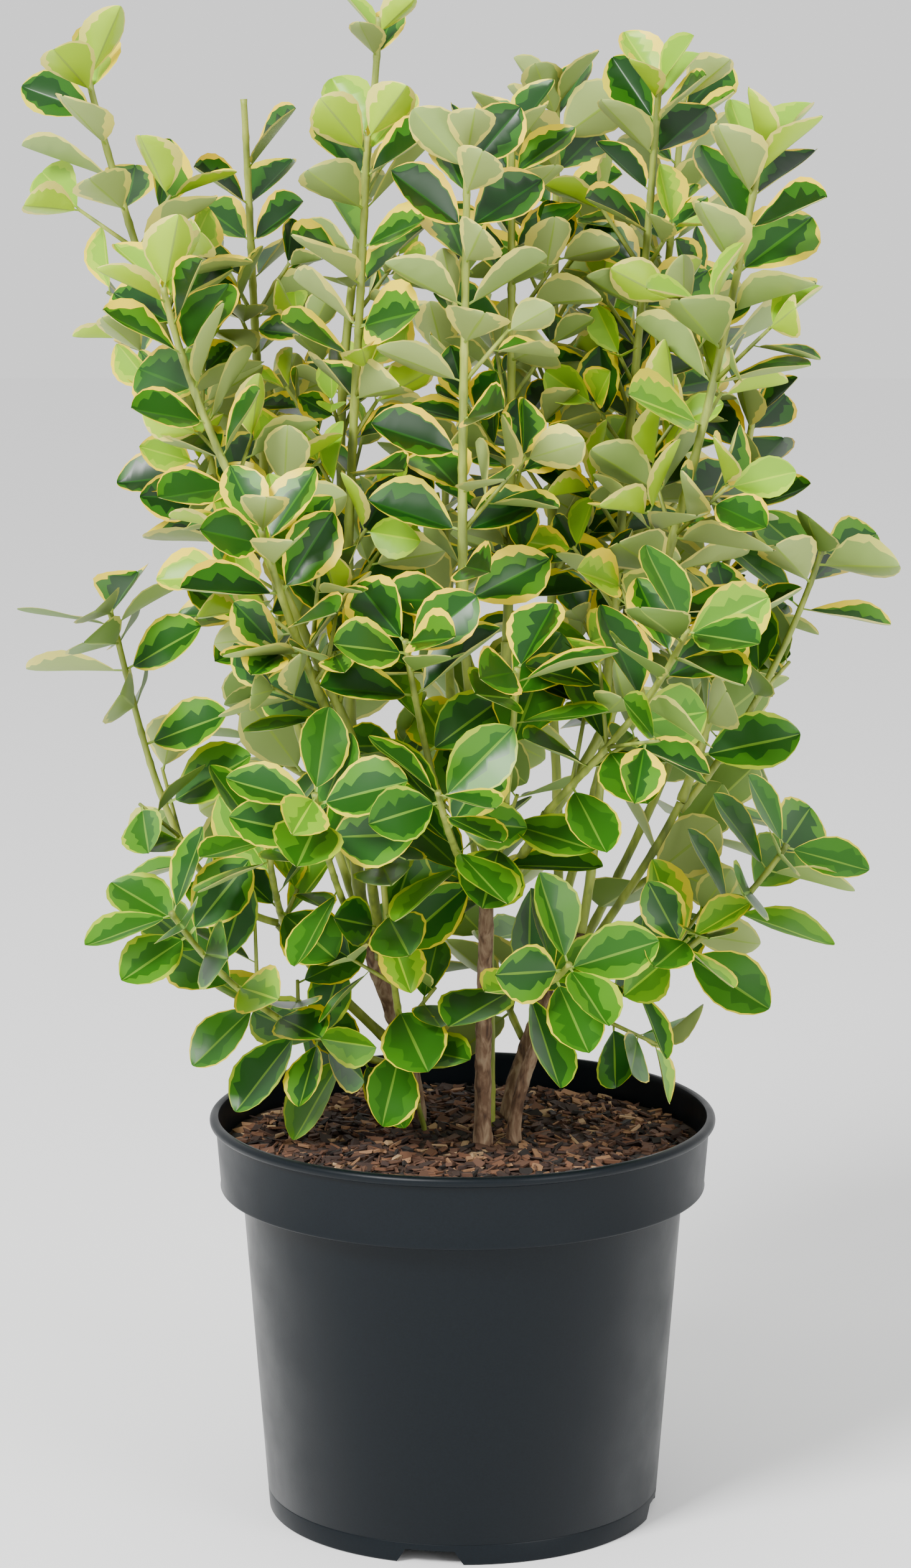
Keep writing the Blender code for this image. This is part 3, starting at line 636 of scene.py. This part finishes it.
def green_bark_material():
    made = principled("shoot_bark", (0.26, 0.34, 0.10), roughness=0.55)
    tone = [
        (0.30, (0.110, 0.150, 0.020, 1)), (0.55, (0.250, 0.310, 0.035, 1)),
        (0.80, (0.400, 0.430, 0.070, 1)),
    ]
    grain = noise_chain(made, "Base Color", tone, 150.0, 4.0, distortion=0.3, stretch=(1.0, 1.0, 0.25))
    bump(made, grain, strength=0.25, distance=0.0005)
    return made


def soil_material():
    made = principled("bark_mould", (0.05, 0.03, 0.02), roughness=0.95)
    tone = [(0.30, (0.012, 0.007, 0.005, 1)), (0.70, (0.075, 0.036, 0.020, 1))]
    grain = noise_chain(made, "Base Color", tone, scale=220.0, detail=6.0)
    bump(made, grain, strength=1.0, distance=0.002)
    return made


# Leaf colours, and how rough each is
PALETTE = {
    "dark_0": ((0.004, 0.030, 0.003), 0.28), "dark_1": ((0.006, 0.044, 0.004), 0.30),
    "dark_2": ((0.010, 0.066, 0.005), 0.32),
    "green_0": ((0.018, 0.100, 0.004), 0.32), "green_1": ((0.032, 0.145, 0.005), 0.33),
    "green_2": ((0.058, 0.200, 0.006), 0.34), "green_3": ((0.100, 0.280, 0.006), 0.34),
    "lime_0": ((0.220, 0.440, 0.006), 0.36), "lime_1": ((0.350, 0.550, 0.010), 0.36),
    "yellow_0": ((0.880, 0.600, 0.001), 0.40), "yellow_1": ((0.900, 0.680, 0.004), 0.40),
    "yellow_2": ((0.680, 0.580, 0.006), 0.40), "edge_green": ((0.340, 0.450, 0.008), 0.38),
    "sage_0": ((0.230, 0.330, 0.080), 0.52), "sage_1": ((0.300, 0.390, 0.110), 0.52),
    "sage_2": ((0.140, 0.240, 0.040), 0.52), "cream_0": ((0.700, 0.640, 0.120), 0.52),
    "cream_1": ((0.520, 0.520, 0.100), 0.52), "rib_0": ((0.260, 0.380, 0.050), 0.42),
    "rib_1": ((0.110, 0.240, 0.015), 0.40),
}
PALETTE_NAMES = list(PALETTE)


# Leaves

def blade_half(t):
    """The half-width of a leaf as a share of its widest, at a share of its length."""
    if t < PETIOLE:
        return STALK_HALF
    s = (t - PETIOLE) / (1.0 - PETIOLE)
    return max(math.sin(math.pi * s**BLADE_SKEW) ** BLADE_FULLNESS, TIP_HALF) if 0 < s < 1 else TIP_HALF


def wandering(rng, phase, wave, rate, spread):
    """A factor around 1 for each row of a blade, from a wave and chance."""
    return [1.0 + wave * math.sin(rate * t + phase) + rng.uniform(-spread, spread) for t in BLADE_ROWS]


def blade_borders(rng, look):
    """Where the margin begins and the heart ends in each row of one half of a leaf."""
    margin_phase = rng.uniform(0, 9)
    heart_phase = rng.uniform(0, 9)
    margins = wandering(rng, margin_phase, *MARGIN_WANDER)
    hearts = wandering(rng, heart_phase, *HEART_WANDER)
    borders = []
    for t, margin, heart in zip(BLADE_ROWS, margins, hearts):
        edge = min(1.0 - look["margin"] * margin, MARGIN_LIMIT)
        inner = min(look["heart"] * heart, edge - LEAST_STRIP)
        if t > HEART_END:
            inner *= HEART_END_SHARE
        borders.append((edge, max(inner, LEAST_HEART)))
    return borders


def blade_template(rng, look):
    """A leaf in its own sizes: points along, across and up, faces, and each face's colour."""
    fold = look["fold"] * rng.uniform(*FOLD_SPREAD)
    curl = rng.uniform(*CURL)
    phase = rng.uniform(0, 6)
    halves = list(zip(blade_borders(rng, look), blade_borders(rng, look)))
    points, faces, tones = [], [], []

    def height(t, v):
        lift = fold * abs(v) ** FOLD_POWER - curl * max(t - CURL_FROM, 0.0) ** 2
        shift = RIPPLE_SHIFT if v > 0 else 0.0
        return lift + RIPPLE * abs(v) * math.sin(RIPPLE_RATE * t + phase + shift)

    for top in (True, False):
        base = len(points)
        for row, t in enumerate(BLADE_ROWS):
            half = blade_half(t) * (1.0 + (TOOTH if row % 2 else -TOOTH))
            (left_edge, left_heart), (right_edge, right_heart) = halves[row]
            columns = [-1.0, -left_edge, -left_heart, -RIB_HALF, RIB_HALF, right_heart, right_edge, 1.0]
            for v in columns:
                drop = 0.0 if top else BLADE_THICKNESS * (1.0 - v * v)
                groove = RIB_GROOVE if top and abs(v) <= RIB_HALF else 0.0
                points.append((t, v * half, height(t, v) * half * BLADE_DEPTH - drop - groove))
        count = len(columns)
        names = look["top"] if top else look["under"]
        for row in range(len(BLADE_ROWS) - 1):
            stalk = BLADE_ROWS[row + 1] <= PETIOLE
            for column in range(count - 1):
                a = base + row * count + column
                quad = (a, a + count, a + count + 1, a + 1)
                faces.append(quad if top else quad[::-1])
                tones.append("rib_0" if stalk else names[column])
    return np.array(points), faces, tones


def edged(edge, mid, dark, rib, sage, cream, margin, heart, fold):
    """A look: colours from edge to edge on both sides, widths of margin and heart, and fold."""
    top = [edge, mid, dark, rib, dark, mid, edge]
    under = [cream, sage, sage, "rib_0", sage, sage, cream]
    return dict(top=top, under=under, margin=margin, heart=heart, fold=fold)


LOOKS = {
    "edged": [
        ("yellow_0", "green_0", "dark_0", "dark_2", "sage_0", "cream_0", 0.17, 0.62, 0.24),
        ("yellow_1", "green_1", "dark_1", "green_0", "sage_1", "cream_0", 0.24, 0.50, 0.30),
        ("yellow_0", "green_1", "dark_2", "green_0", "sage_1", "cream_1", 0.13, 0.66, 0.20),
        ("yellow_2", "green_0", "dark_1", "dark_2", "sage_0", "cream_1", 0.20, 0.58, 0.28),
        ("yellow_1", "green_2", "dark_2", "green_1", "sage_1", "cream_0", 0.30, 0.42, 0.26),
    ],
    "green": [
        ("edge_green", "green_1", "dark_2", "rib_1", "sage_2", "cream_1", 0.10, 0.60, 0.14),
        ("yellow_2", "green_1", "green_0", "rib_1", "sage_2", "cream_1", 0.08, 0.66, 0.12),
        ("edge_green", "green_2", "green_0", "rib_1", "sage_0", "cream_1", 0.12, 0.50, 0.16),
        ("yellow_2", "green_2", "dark_2", "rib_1", "sage_2", "cream_1", 0.14, 0.56, 0.14),
    ],
    "fresh": [
        ("edge_green", "green_3", "green_2", "lime_0", "sage_1", "cream_1", 0.12, 0.50, 0.20),
        ("yellow_2", "lime_0", "green_3", "lime_1", "sage_1", "cream_0", 0.20, 0.45, 0.20),
    ],
    "young": [
        ("lime_1", "lime_0", "lime_0", "lime_1", "lime_1", "cream_0", 0.22, 0.50, 0.30),
        ("yellow_1", "lime_1", "lime_0", "lime_1", "lime_1", "cream_0", 0.26, 0.50, 0.30),
    ],
}


def leaf_shapes():
    """A few shapes of every look."""
    rng = random.Random("shapes")
    return {
        kind: [blade_template(rng, edged(*row)) for row in looks for _ in range(SHAPES_PER_LOOK)]
        for kind, looks in LOOKS.items()
    }


class Piece:
    """Points, faces and colours that are gathered for one object."""

    def __init__(self):
        self.points, self.faces, self.tones = [], [], []
        self.count = 0

    def add(self, points, faces, tones=None):
        """Add a shape, with a material's number for each face unless it has only the first."""
        self.points.append(points)
        self.faces += [tuple(i + self.count for i in face) for face in faces]
        self.tones += tones or [0] * len(faces)
        self.count += len(points)

    def make(self, name, materials, smooth=True):
        """The object, which rides on the part's only body."""
        mesh = mesh_of(name, np.concatenate(self.points).tolist(), self.faces)
        for material in materials:
            mesh.materials.append(material)
        mesh.polygons.foreach_set("material_index", np.array(self.tones, dtype=np.int32))
        mesh.polygons.foreach_set("use_smooth", np.full(len(self.faces), smooth))
        obj = placed(name, mesh)
        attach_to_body(obj, "root")
        return obj


YOUNG_TIPS = ["leaves_" + end for end in ("far_left", "tallest", "mid_left", "right", "left", "far_right")]


def leaf_kind(rng, leaf, name, mass):
    """Which look a leaf has, from its age, its height and where its mass is."""
    low = leaf["root"].z < GREEN_BELOW + GREEN_BELOW_SPREAD * rng.random()
    if leaf["age"] <= YOUNG_AGE and name in YOUNG_TIPS:
        return "young"
    if mass["habit"] in ("spray", "arching"):
        if rng.random() < FRESH_SPRAYS:
            return "fresh"
        return "green" if low or rng.random() < GREEN_SPRAYS else "edged"
    if low:
        return "green" if rng.random() < GREEN_LOW else "edged"
    return "fresh" if rng.random() < FRESH_LEADERS else "edged"


# Foliage pieces: the masses that each joins, without the word leaves that begins their names
GROUPS = {
    "foliage_left": ("far_left", "left", "left_front", "left_back", "back_left"),
    "foliage_middle": ("mid_left", "tallest", "middle", "mid_right", "mid_back"),
    "foliage_right": (
        "right", "right_back", "far_right", "far_right_back", "right_inner", "right_side",
    ),
    "foliage_low_left": (
        "left_side", "low_left", "mid_low_left", "front_left", "foot", "low_back_left", "low_middle",
    ),
    "foliage_low_right": (
        "low_right", "front_right", "front_centre", "front_upper", "front_mid", "low_front",
        "low_inner", "back", "back_right", "low_back", "low_back_right",
    ),
}


def dress_leaf(piece, shapes, rng, leaf, kind):
    """Add one leaf of the kind to the piece, in one of the kind's shapes."""
    points, faces, tones = rng.choice(shapes[kind])
    along, upper = leaf["along"], leaf["upper"]
    side = upper.cross(along)
    length, half = leaf["length"], leaf["width"] / 2
    axes = np.array([list(length * along), list(half * side), list(length * upper)])
    piece.add(points @ axes + np.array(leaf["root"]), faces, [PALETTE_NAMES.index(tone) for tone in tones])


# Limbs

def plain_array(points):
    return np.array([tuple(point) for point in points])


def relief_tube(path, radii, bark, seed):
    """A closed tube with knuckles and bark relief: long ridges and cracks."""
    sides = bark["sides"]
    points, faces = tube(path, knuckle(path, radii, bark["pitch"], bark["swell"]), sides)
    shaped = []
    for index, point in enumerate(points):
        out = (point - path[index // sides]).normalized()
        place = Vector((out.x * RELIEF_ROUND, out.y * RELIEF_ROUND + seed, point.z * bark["grain"]))
        ridge = noise.fractal(place, RELIEF_FALL, RELIEF_FINER, RELIEF_LAYERS)
        shaped.append(point + bark["depth"] * ridge * out)
    return plain_array(shaped), faces


def knuckle(path, radii, pitch, swell):
    """Radii that swell a little where leaves grow or grew."""
    total, run, out = path_length(path), 0.0, []
    for index, radius in enumerate(radii):
        if index:
            run += (path[index] - path[index - 1]).length
        near = abs(((total - run) / pitch) % 1.0 - 0.5)
        out.append(radius * (1.0 + swell * math.exp(-((0.5 - near) / NODE_WIDTH) ** 2)))
    return out


def fine_limb(start, end, leave, turn, foot, tip):
    """A limb of the solids with many more rings: its path and its radii."""
    steps = max(int((end - start).length / RING_STEP), FEWEST_RINGS)
    path = limb_path(start, end, leave, turn, steps)
    return path, tapering(steps + 1, foot, tip)


def grow_stems(room):
    """The stems: coarse paths that carry the rest, and the curves behind them."""
    paths, curves = {}, {}
    for name, (foot, tip, foot_radius, tip_radius) in STEMS.items():
        start = Vector((*foot, SOIL_TOP + GAP))
        steps = FRONT_STEM_STEPS if name == "stem_front" else STEM_STEPS
        path = limb_path(start, Vector(tip), UP, STEM_TURN, steps)
        radii = tapering(len(path), foot_radius, tip_radius)
        radii[0] *= FOOT_FLARE
        room.take(tube(path, radii, STEM_SIDES), name)
        paths[name] = path
        curves[name] = (start, Vector(tip), UP, STEM_TURN, foot_radius, tip_radius)
    return paths, curves


def grow_boughs(room, paths, curves):
    """The boughs, each from its stem, added to the paths and curves."""
    for name, (parent, share, tip, foot, end) in BOUGHS.items():
        radii = tapering(BOUGH_STEPS + 1, foot, end)
        reach = Vector(tip)
        path, leave = attach(
            room, paths[parent], share, reach, radii, BOUGH_TURN, BOUGH_FLAT, BOUGH_SIDES
        )
        room.take(tube(path, radii, BOUGH_SIDES), name)
        paths[name] = path
        curves[name] = (path[0], reach, leave, BOUGH_TURN, foot, end)


def finer_habit(name):
    """A habit of the part with closer pairs, more twigs, and more lean and roll."""
    habit = dict(HABITS[name])
    habit["pitch"] *= FINER
    habit["twiggy"] *= MORE_TWIGS
    habit["lean_foot"] += MORE_LEAN
    habit["roll"] += MORE_ROLL
    return habit


def grow_masses(room, paths, curves):
    """The masses, with all leaves and twigs that their rule gives."""
    masses = {}
    for name, (parent, share, tip, habit_name, size) in MASSES.items():
        habit = finer_habit(habit_name)
        turn, flat, foot, end = habit["turn"], habit["flat"], habit["foot"], habit["tip"]
        rng = random.Random(f"{name} {SEED}")
        radii = tapering(SHOOT_STEPS + 1, foot, end)
        reach = Vector(tip)
        path, leave = attach(room, paths[parent], share, reach, radii, turn, flat, TWIG_SIDES)
        leaves, twigs = dress(rng, path, habit, size, 0)
        room.take(tube(path, radii, TWIG_SIDES), name)
        mass = dict(path=path, leaves=leaves, twigs=twigs, kept=[], habit=habit_name)
        masses[name] = dict(mass, pitch=habit["pitch"])
        curves[name] = (path[0], reach, leave, turn, foot * SHOOT_SHARE, end)
    return masses


def keep_what_fits(room, masses):
    """Keep the twigs and leaves that have room, young leaves of the main stems first."""
    waiting = []
    for name, mass in masses.items():
        mass["twigs"] = [twig for twig in mass["twigs"] if fits(room, name, twig)]
        waiting += [(leaf["age"], 0, name, leaf, None) for leaf in mass["leaves"]]
        for twig in mass["twigs"]:
            waiting += [(leaf["age"] + TWIG_LEAVES_WAIT, 1, name, leaf, twig) for leaf in twig["leaves"]]
    waiting.sort(key=lambda row: row[:2])
    for _, _, name, leaf, twig in waiting[:MOST_LEAVES]:
        if keeps_space(leaf, masses[name]["path"]) and room.free(leaf_solid(leaf, LEAF_NECK)):
            room.take(leaf_solid(leaf), name)
            masses[name]["kept"].append(leaf)
            if twig:
                twig["held"] += 1
    for mass in masses.values():
        mass["twigs"] = [twig for twig in mass["twigs"] if twig["held"] >= FEWEST_LEAVES]


def grow():
    """Every limb and mass by the part's rule, with more and smaller leaves."""
    room = Room()
    paths, curves = grow_stems(room)
    grow_boughs(room, paths, curves)
    masses = grow_masses(room, paths, curves)
    keep_what_fits(room, masses)
    return curves, masses


def build_foliage(masses):
    """The foliage pieces, each with the leaves of its masses."""
    shapes = leaf_shapes()
    materials = [
        principled("leaf_" + name, colour, rough, LEAF_SHINE) for name, (colour, rough) in PALETTE.items()
    ]
    for group, ends in GROUPS.items():
        names = ["leaves_" + end for end in ends]
        piece = Piece()
        for name in names:
            rng = random.Random("look " + name)
            for leaf in masses[name]["kept"]:
                dress_leaf(piece, shapes, rng, leaf, leaf_kind(rng, leaf, name, masses[name]))
        obj = piece.make(group, materials)
        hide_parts(*names)


def build_limbs(curves, masses):
    """Brown stems, green boughs, and the shoots and twigs of the foliage."""
    brown, boughs, twigs = Piece(), Piece(), Piece()
    brown_names, bough_names = [], []
    for index, (name, curve) in enumerate(curves.items()):
        path, radii = fine_limb(*curve)
        if name in STEMS and radii[0] > BROWN_FROM:
            flare = [1.0 + (FOOT_FLARE - 1.0) * math.exp(-i / FLARE_RINGS) for i in range(len(radii))]
            radii = [radius * more for radius, more in zip(radii, flare)]
            brown.add(*relief_tube(path, radii, BROWN_BARK, index))
            brown_names.append(name)
        elif name in STEMS or name in BOUGHS:
            boughs.add(*relief_tube(path, radii, GREEN_BARK, index))
            bough_names.append(name)
        else:
            twigs.add(*relief_tube(path, radii, dict(SHOOT_BARK, pitch=masses[name]["pitch"]), index))
    for mass in masses.values():
        for twig in mass["twigs"]:
            points, faces = tube(twig["path"], twig["radii"], SIDE_TWIG_SIDES)
            twigs.add(plain_array(points), faces)
    bark, green = bark_material(), green_bark_material()
    stems = brown.make("stem_relief", [bark])
    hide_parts(*brown_names)
    limbs = boughs.make("bough_relief", [green])
    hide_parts(*bough_names)
    twigs.make("twigs", [green])


# Pot and soil

def wall_radius(height):
    """The outside radius of the pot's wall at a height below the collar."""
    return FOOT_RADIUS + (SHOULDER_RADIUS - FOOT_RADIUS) * height / COLLAR_FOOT


def arc(centre, radius, first, last, steps):
    """Points of an arc in the profile, angles in degrees."""
    out = []
    for i in range(steps + 1):
        angle = math.radians(first + (last - first) * i / steps)
        out.append((centre[0] + radius * math.cos(angle), centre[1] + radius * math.sin(angle)))
    return out


def on_wall(height, depth=0.0):
    """A point of the profile on the pot's wall, or a little inside it."""
    return wall_radius(height) - depth, height


def pot_profile():
    """The pot's section, from its middle underneath round the rim to its middle inside."""
    skirt = FOOT_RADIUS - FOOT_RING
    inner_floor = CHANNEL_HEIGHT + FLOOR
    inner_shelf = COLLAR_FOOT + SHELF
    waist = (COLLAR_FOOT_RADIUS - COLLAR_WAIST, COLLAR_FOOT + COLLAR_WAIST_HEIGHT)
    shoulder = (SHOULDER_RADIUS + SHOULDER_ROUND, COLLAR_FOOT - SHOULDER_ROUND)
    collar = (COLLAR_FOOT_RADIUS - COLLAR_ROUND, COLLAR_FOOT + COLLAR_ROUND)
    lip = (RIM_RADIUS - LIP_ROUND, POT_HEIGHT - LIP_ROUND)
    inner_lip = (RIM_RADIUS - LIP_ROUND - LIP_FLAT, POT_HEIGHT - LIP_INNER_ROUND)
    outside = [
        (0.0, 0.0), (PAD_RADIUS, 0.0), (PAD_RADIUS + CHANNEL_DRAFT, CHANNEL_HEIGHT),
        (skirt, CHANNEL_HEIGHT), (skirt, RING_BEVEL), (skirt + RING_BEVEL, 0.0),
        (FOOT_RADIUS - FOOT_BEVEL, 0.0), on_wall(FOOT_BEVEL),
        on_wall(GROOVE_HEIGHT - GROOVE_HALF),
        on_wall(GROOVE_HEIGHT, GROOVE_DEPTH),
        on_wall(GROOVE_HEIGHT + GROOVE_HALF),
        on_wall(COLLAR_FOOT - SHOULDER_BEND),
        *arc(shoulder, SHOULDER_ROUND, 180, 90, 4),
        *arc(collar, COLLAR_ROUND, -90, 0, 5),
        waist,
        (COLLAR_TOP_RADIUS, LIP_FOOT),
        *arc(lip, LIP_ROUND, -60, 90, 12),
    ]
    inside = [
        *arc(inner_lip, LIP_INNER_ROUND, 90, 170, 5),
        (COLLAR_TOP_RADIUS - WALL, POT_HEIGHT - LIP_DEPTH),
        (COLLAR_FOOT_RADIUS - WALL, inner_shelf), on_wall(inner_shelf, WALL),
        on_wall(inner_floor, WALL), (PAD_RADIUS, inner_floor),
        (PAD_RADIUS - CHANNEL_DRAFT, FLOOR), (0.0, FLOOR),
    ]
    return outside + inside


def build_pot():
    bm = bmesh.new()
    corners = [bm.verts.new((radius, 0.0, height)) for radius, height in pot_profile()]
    edges = [bm.edges.new(pair) for pair in zip(corners, corners[1:])]
    bmesh.ops.spin(
        bm, geom=corners + edges, cent=(0, 0, 0), axis=UP, angle=math.tau, steps=POT_SIDES, use_merge=True
    )
    bmesh.ops.remove_doubles(bm, verts=bm.verts, dist=1e-6)
    bmesh.ops.recalc_face_normals(bm, faces=bm.faces)
    mesh = bpy.data.meshes.new("pot_turned")
    bm.to_mesh(mesh)
    bm.free()
    pot = placed("pot_turned", mesh)
    cutters = [notch_cutter(NOTCH_BEARING + math.tau * i / NOTCHES) for i in range(NOTCHES)]
    for cutter in cutters:
        cut = pot.modifiers.new("notch", "BOOLEAN")
        cut.operation = "DIFFERENCE"
        cut.solver = "EXACT"
        cut.object = cutter
    bpy.context.view_layer.update()
    evaluated = pot.evaluated_get(bpy.context.evaluated_depsgraph_get())
    cut_mesh = bpy.data.meshes.new_from_object(evaluated)
    pot.modifiers.clear()
    pot.data = cut_mesh
    for cutter in cutters:
        bpy.data.objects.remove(cutter, do_unlink=True)
    cut_mesh.shade_smooth()
    cut_mesh.set_sharp_from_angle(angle=SHARP_ANGLE)
    cut_mesh.materials.clear()
    cut_mesh.materials.append(pot_material())
    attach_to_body(pot, "root")
    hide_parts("pot")


BOX_CORNERS = [(x, y, z) for z in (-1, 1) for x, y in ((-1, -1), (1, -1), (1, 1), (-1, 1))]
BOX_FACES = [(3, 2, 1, 0), (4, 5, 6, 7)] + [(i, (i + 1) % 4, (i + 1) % 4 + 4, i + 4) for i in range(4)]


def notch_cutter(bearing):
    """A block through the pot's foot at a bearing, narrower at its top."""
    half, top = NOTCH_WIDTH / 2, NOTCH_TOP_WIDTH / 2
    foot = half + (half - top) / NOTCH_HEIGHT * NOTCH_BELOW
    outline = [(-foot, -NOTCH_BELOW), (foot, -NOTCH_BELOW), (top, NOTCH_HEIGHT), (-top, NOTCH_HEIGHT)]
    ends = (FOOT_RADIUS - NOTCH_REACH, FOOT_RADIUS + NOTCH_REACH)
    points = [(radius, across, height) for radius in ends for across, height in outline]
    cutter = placed("notch", mesh_of("notch", points, BOX_FACES))
    cutter.matrix_world = Matrix.Rotation(bearing, 4, "Z")
    return cutter


# Chips: colour and how common each is
CHIPS = {
    "chip_dark": ((0.030, 0.014, 0.009), 30), "chip_brown": ((0.085, 0.038, 0.020), 30),
    "chip_red": ((0.130, 0.055, 0.026), 16), "chip_tan": ((0.240, 0.125, 0.060), 10),
    "chip_pale": ((0.360, 0.230, 0.120), 4), "chip_black": ((0.012, 0.008, 0.006), 14),
}


def edge_fall(radius):
    """How far the mulch falls off towards the pot's wall."""
    return EDGE_FALL * (radius / SOIL_RADIUS) ** 4


def slant(rng):
    """A chance turn for a chip that lies nearly flat."""
    turn = Matrix.Rotation(rng.uniform(0, math.tau), 3, "Z")
    turn = turn @ Matrix.Rotation(rng.gauss(0, CHIP_ROLL), 3, "X")
    return turn @ Matrix.Rotation(rng.gauss(0, CHIP_PITCH), 3, "Y")


def chip_corners(rng, centre, turn, long, wide, thick):
    """The corners of a box that is broken unevenly."""
    corners = []
    for x, y, z in BOX_CORNERS:
        half_long = long / 2 * rng.uniform(*CHIP_TAPER)
        half_wide = wide / 2 * rng.uniform(*CHIP_NARROW)
        corners.append(centre + turn @ Vector((x * half_long, y * half_wide, z * thick / 2)))
    return plain_array(corners)


def build_mulch():
    """Bark chips and slivers lying on the soil."""
    rng = random.Random("mulch")
    piece = Piece()
    shares = [share for _, share in CHIPS.values()]
    for _ in range(BARK_CHIPS):
        radius = (SOIL_RADIUS - CHIP_MARGIN) * math.sqrt(rng.random())
        angle = rng.uniform(0, math.tau)
        sliver = rng.random() < SLIVERS
        long = rng.uniform(*(SLIVER_LENGTH if sliver else CHIP_LENGTH))
        wide = rng.uniform(*SLIVER_WIDTH) if sliver else long * rng.uniform(*CHIP_BREADTH)
        thick = rng.uniform(*CHIP_THICKNESS)
        height = SOIL_TOP + rng.uniform(*CHIP_HEIGHT) - edge_fall(radius)
        turn = slant(rng)
        if radius + long / 2 > SOIL_RADIUS - CHIP_GAP:
            continue
        centre = Vector((radius * math.cos(angle), radius * math.sin(angle), height))
        corners = chip_corners(rng, centre, turn, long, wide, thick)
        tone = rng.choices(range(len(CHIPS)), weights=shares)[0]
        piece.add(corners, BOX_FACES, [tone] * len(BOX_FACES))
    materials = [principled(name, colour, CHIP_ROUGHNESS) for name, (colour, _) in CHIPS.items()]
    piece.make("bark_chips", materials, smooth=False)


def build_bed():
    """The uneven bed of mulch between the chips."""
    points, faces = [(0.0, 0.0, SOIL_TOP + BED_CENTRE)], []
    for ring in range(1, BED_RINGS + 1):
        radius = SOIL_RADIUS * ring / BED_RINGS
        for i in range(BED_SIDES):
            angle = math.tau * i / BED_SIDES
            x, y = radius * math.cos(angle), radius * math.sin(angle)
            lift = BED_WAVE * noise.noise(Vector((x * BED_GRAIN, y * BED_GRAIN, BED_SLICE)))
            points.append((x, y, SOIL_TOP + BED_RISE + lift - edge_fall(radius)))
    faces += [(0, 1 + i, 1 + (i + 1) % BED_SIDES) for i in range(BED_SIDES)]
    for ring in range(BED_RINGS - 1):
        for i in range(BED_SIDES):
            a = 1 + ring * BED_SIDES + i
            b = 1 + ring * BED_SIDES + (i + 1) % BED_SIDES
            faces.append((a, a + BED_SIDES, b + BED_SIDES, b))
    piece = Piece()
    piece.add(np.array(points), faces)
    piece.make("mulch_bed", [soil_material()])


# Stage

def build_floor():
    corners = [(x * FLOOR_HALF, y * FLOOR_HALF, 0.0) for x, y in ((-1, -1), (1, -1), (1, 1), (-1, 1))]
    floor = placed("floor", mesh_of("floor", corners, [(0, 1, 2, 3)]))
    floor.data.materials.append(principled("floor_white", (0.90, 0.90, 0.90), roughness=0.9))


def build_lights():
    """A bright white world, and lamps that look at the crown."""
    world = bpy.data.worlds.new("studio")
    world.use_nodes = True
    light = world.node_tree.nodes["Background"].inputs
    light["Color"].default_value = (1, 1, 1, 1)
    light["Strength"].default_value = WORLD_STRENGTH
    bpy.context.scene.world = world
    for name, place, size, power in LAMPS:
        lamp = bpy.data.lights.new(name, "AREA")
        lamp.shape = "RECTANGLE"
        lamp.size, lamp.size_y = size
        lamp.energy = power
        obj = placed(name, lamp)
        obj.location = place
        obj.rotation_euler = (LAMP_AIM - Vector(place)).to_track_quat("-Z", "Y").to_euler()


def build_camera():
    data = bpy.data.cameras.new("camera")
    data.sensor_fit = "VERTICAL"
    data.sensor_height = SENSOR_MILLIMETRES
    data.lens = FOCAL_PIXELS / PICTURE_HEIGHT * SENSOR_MILLIMETRES
    camera = placed("camera", data)
    camera.location = CAMERA_PLACE
    camera.rotation_euler = (math.pi / 2 - CAMERA_DOWN, 0.0, 0.0)
    bpy.context.scene.camera = camera


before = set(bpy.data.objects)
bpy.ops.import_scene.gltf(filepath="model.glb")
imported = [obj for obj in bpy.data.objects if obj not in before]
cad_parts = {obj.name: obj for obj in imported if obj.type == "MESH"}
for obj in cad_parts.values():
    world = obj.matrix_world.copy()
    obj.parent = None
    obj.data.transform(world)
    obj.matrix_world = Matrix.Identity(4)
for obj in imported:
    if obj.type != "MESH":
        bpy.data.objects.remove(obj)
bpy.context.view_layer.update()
build_camera()
build_floor()
build_lights()
curves, masses = grow()
build_foliage(masses)
build_limbs(curves, masses)
build_pot()
build_bed()
build_mulch()
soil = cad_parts["soil"]
for slot in soil.material_slots:
    slot.material = soil_material()
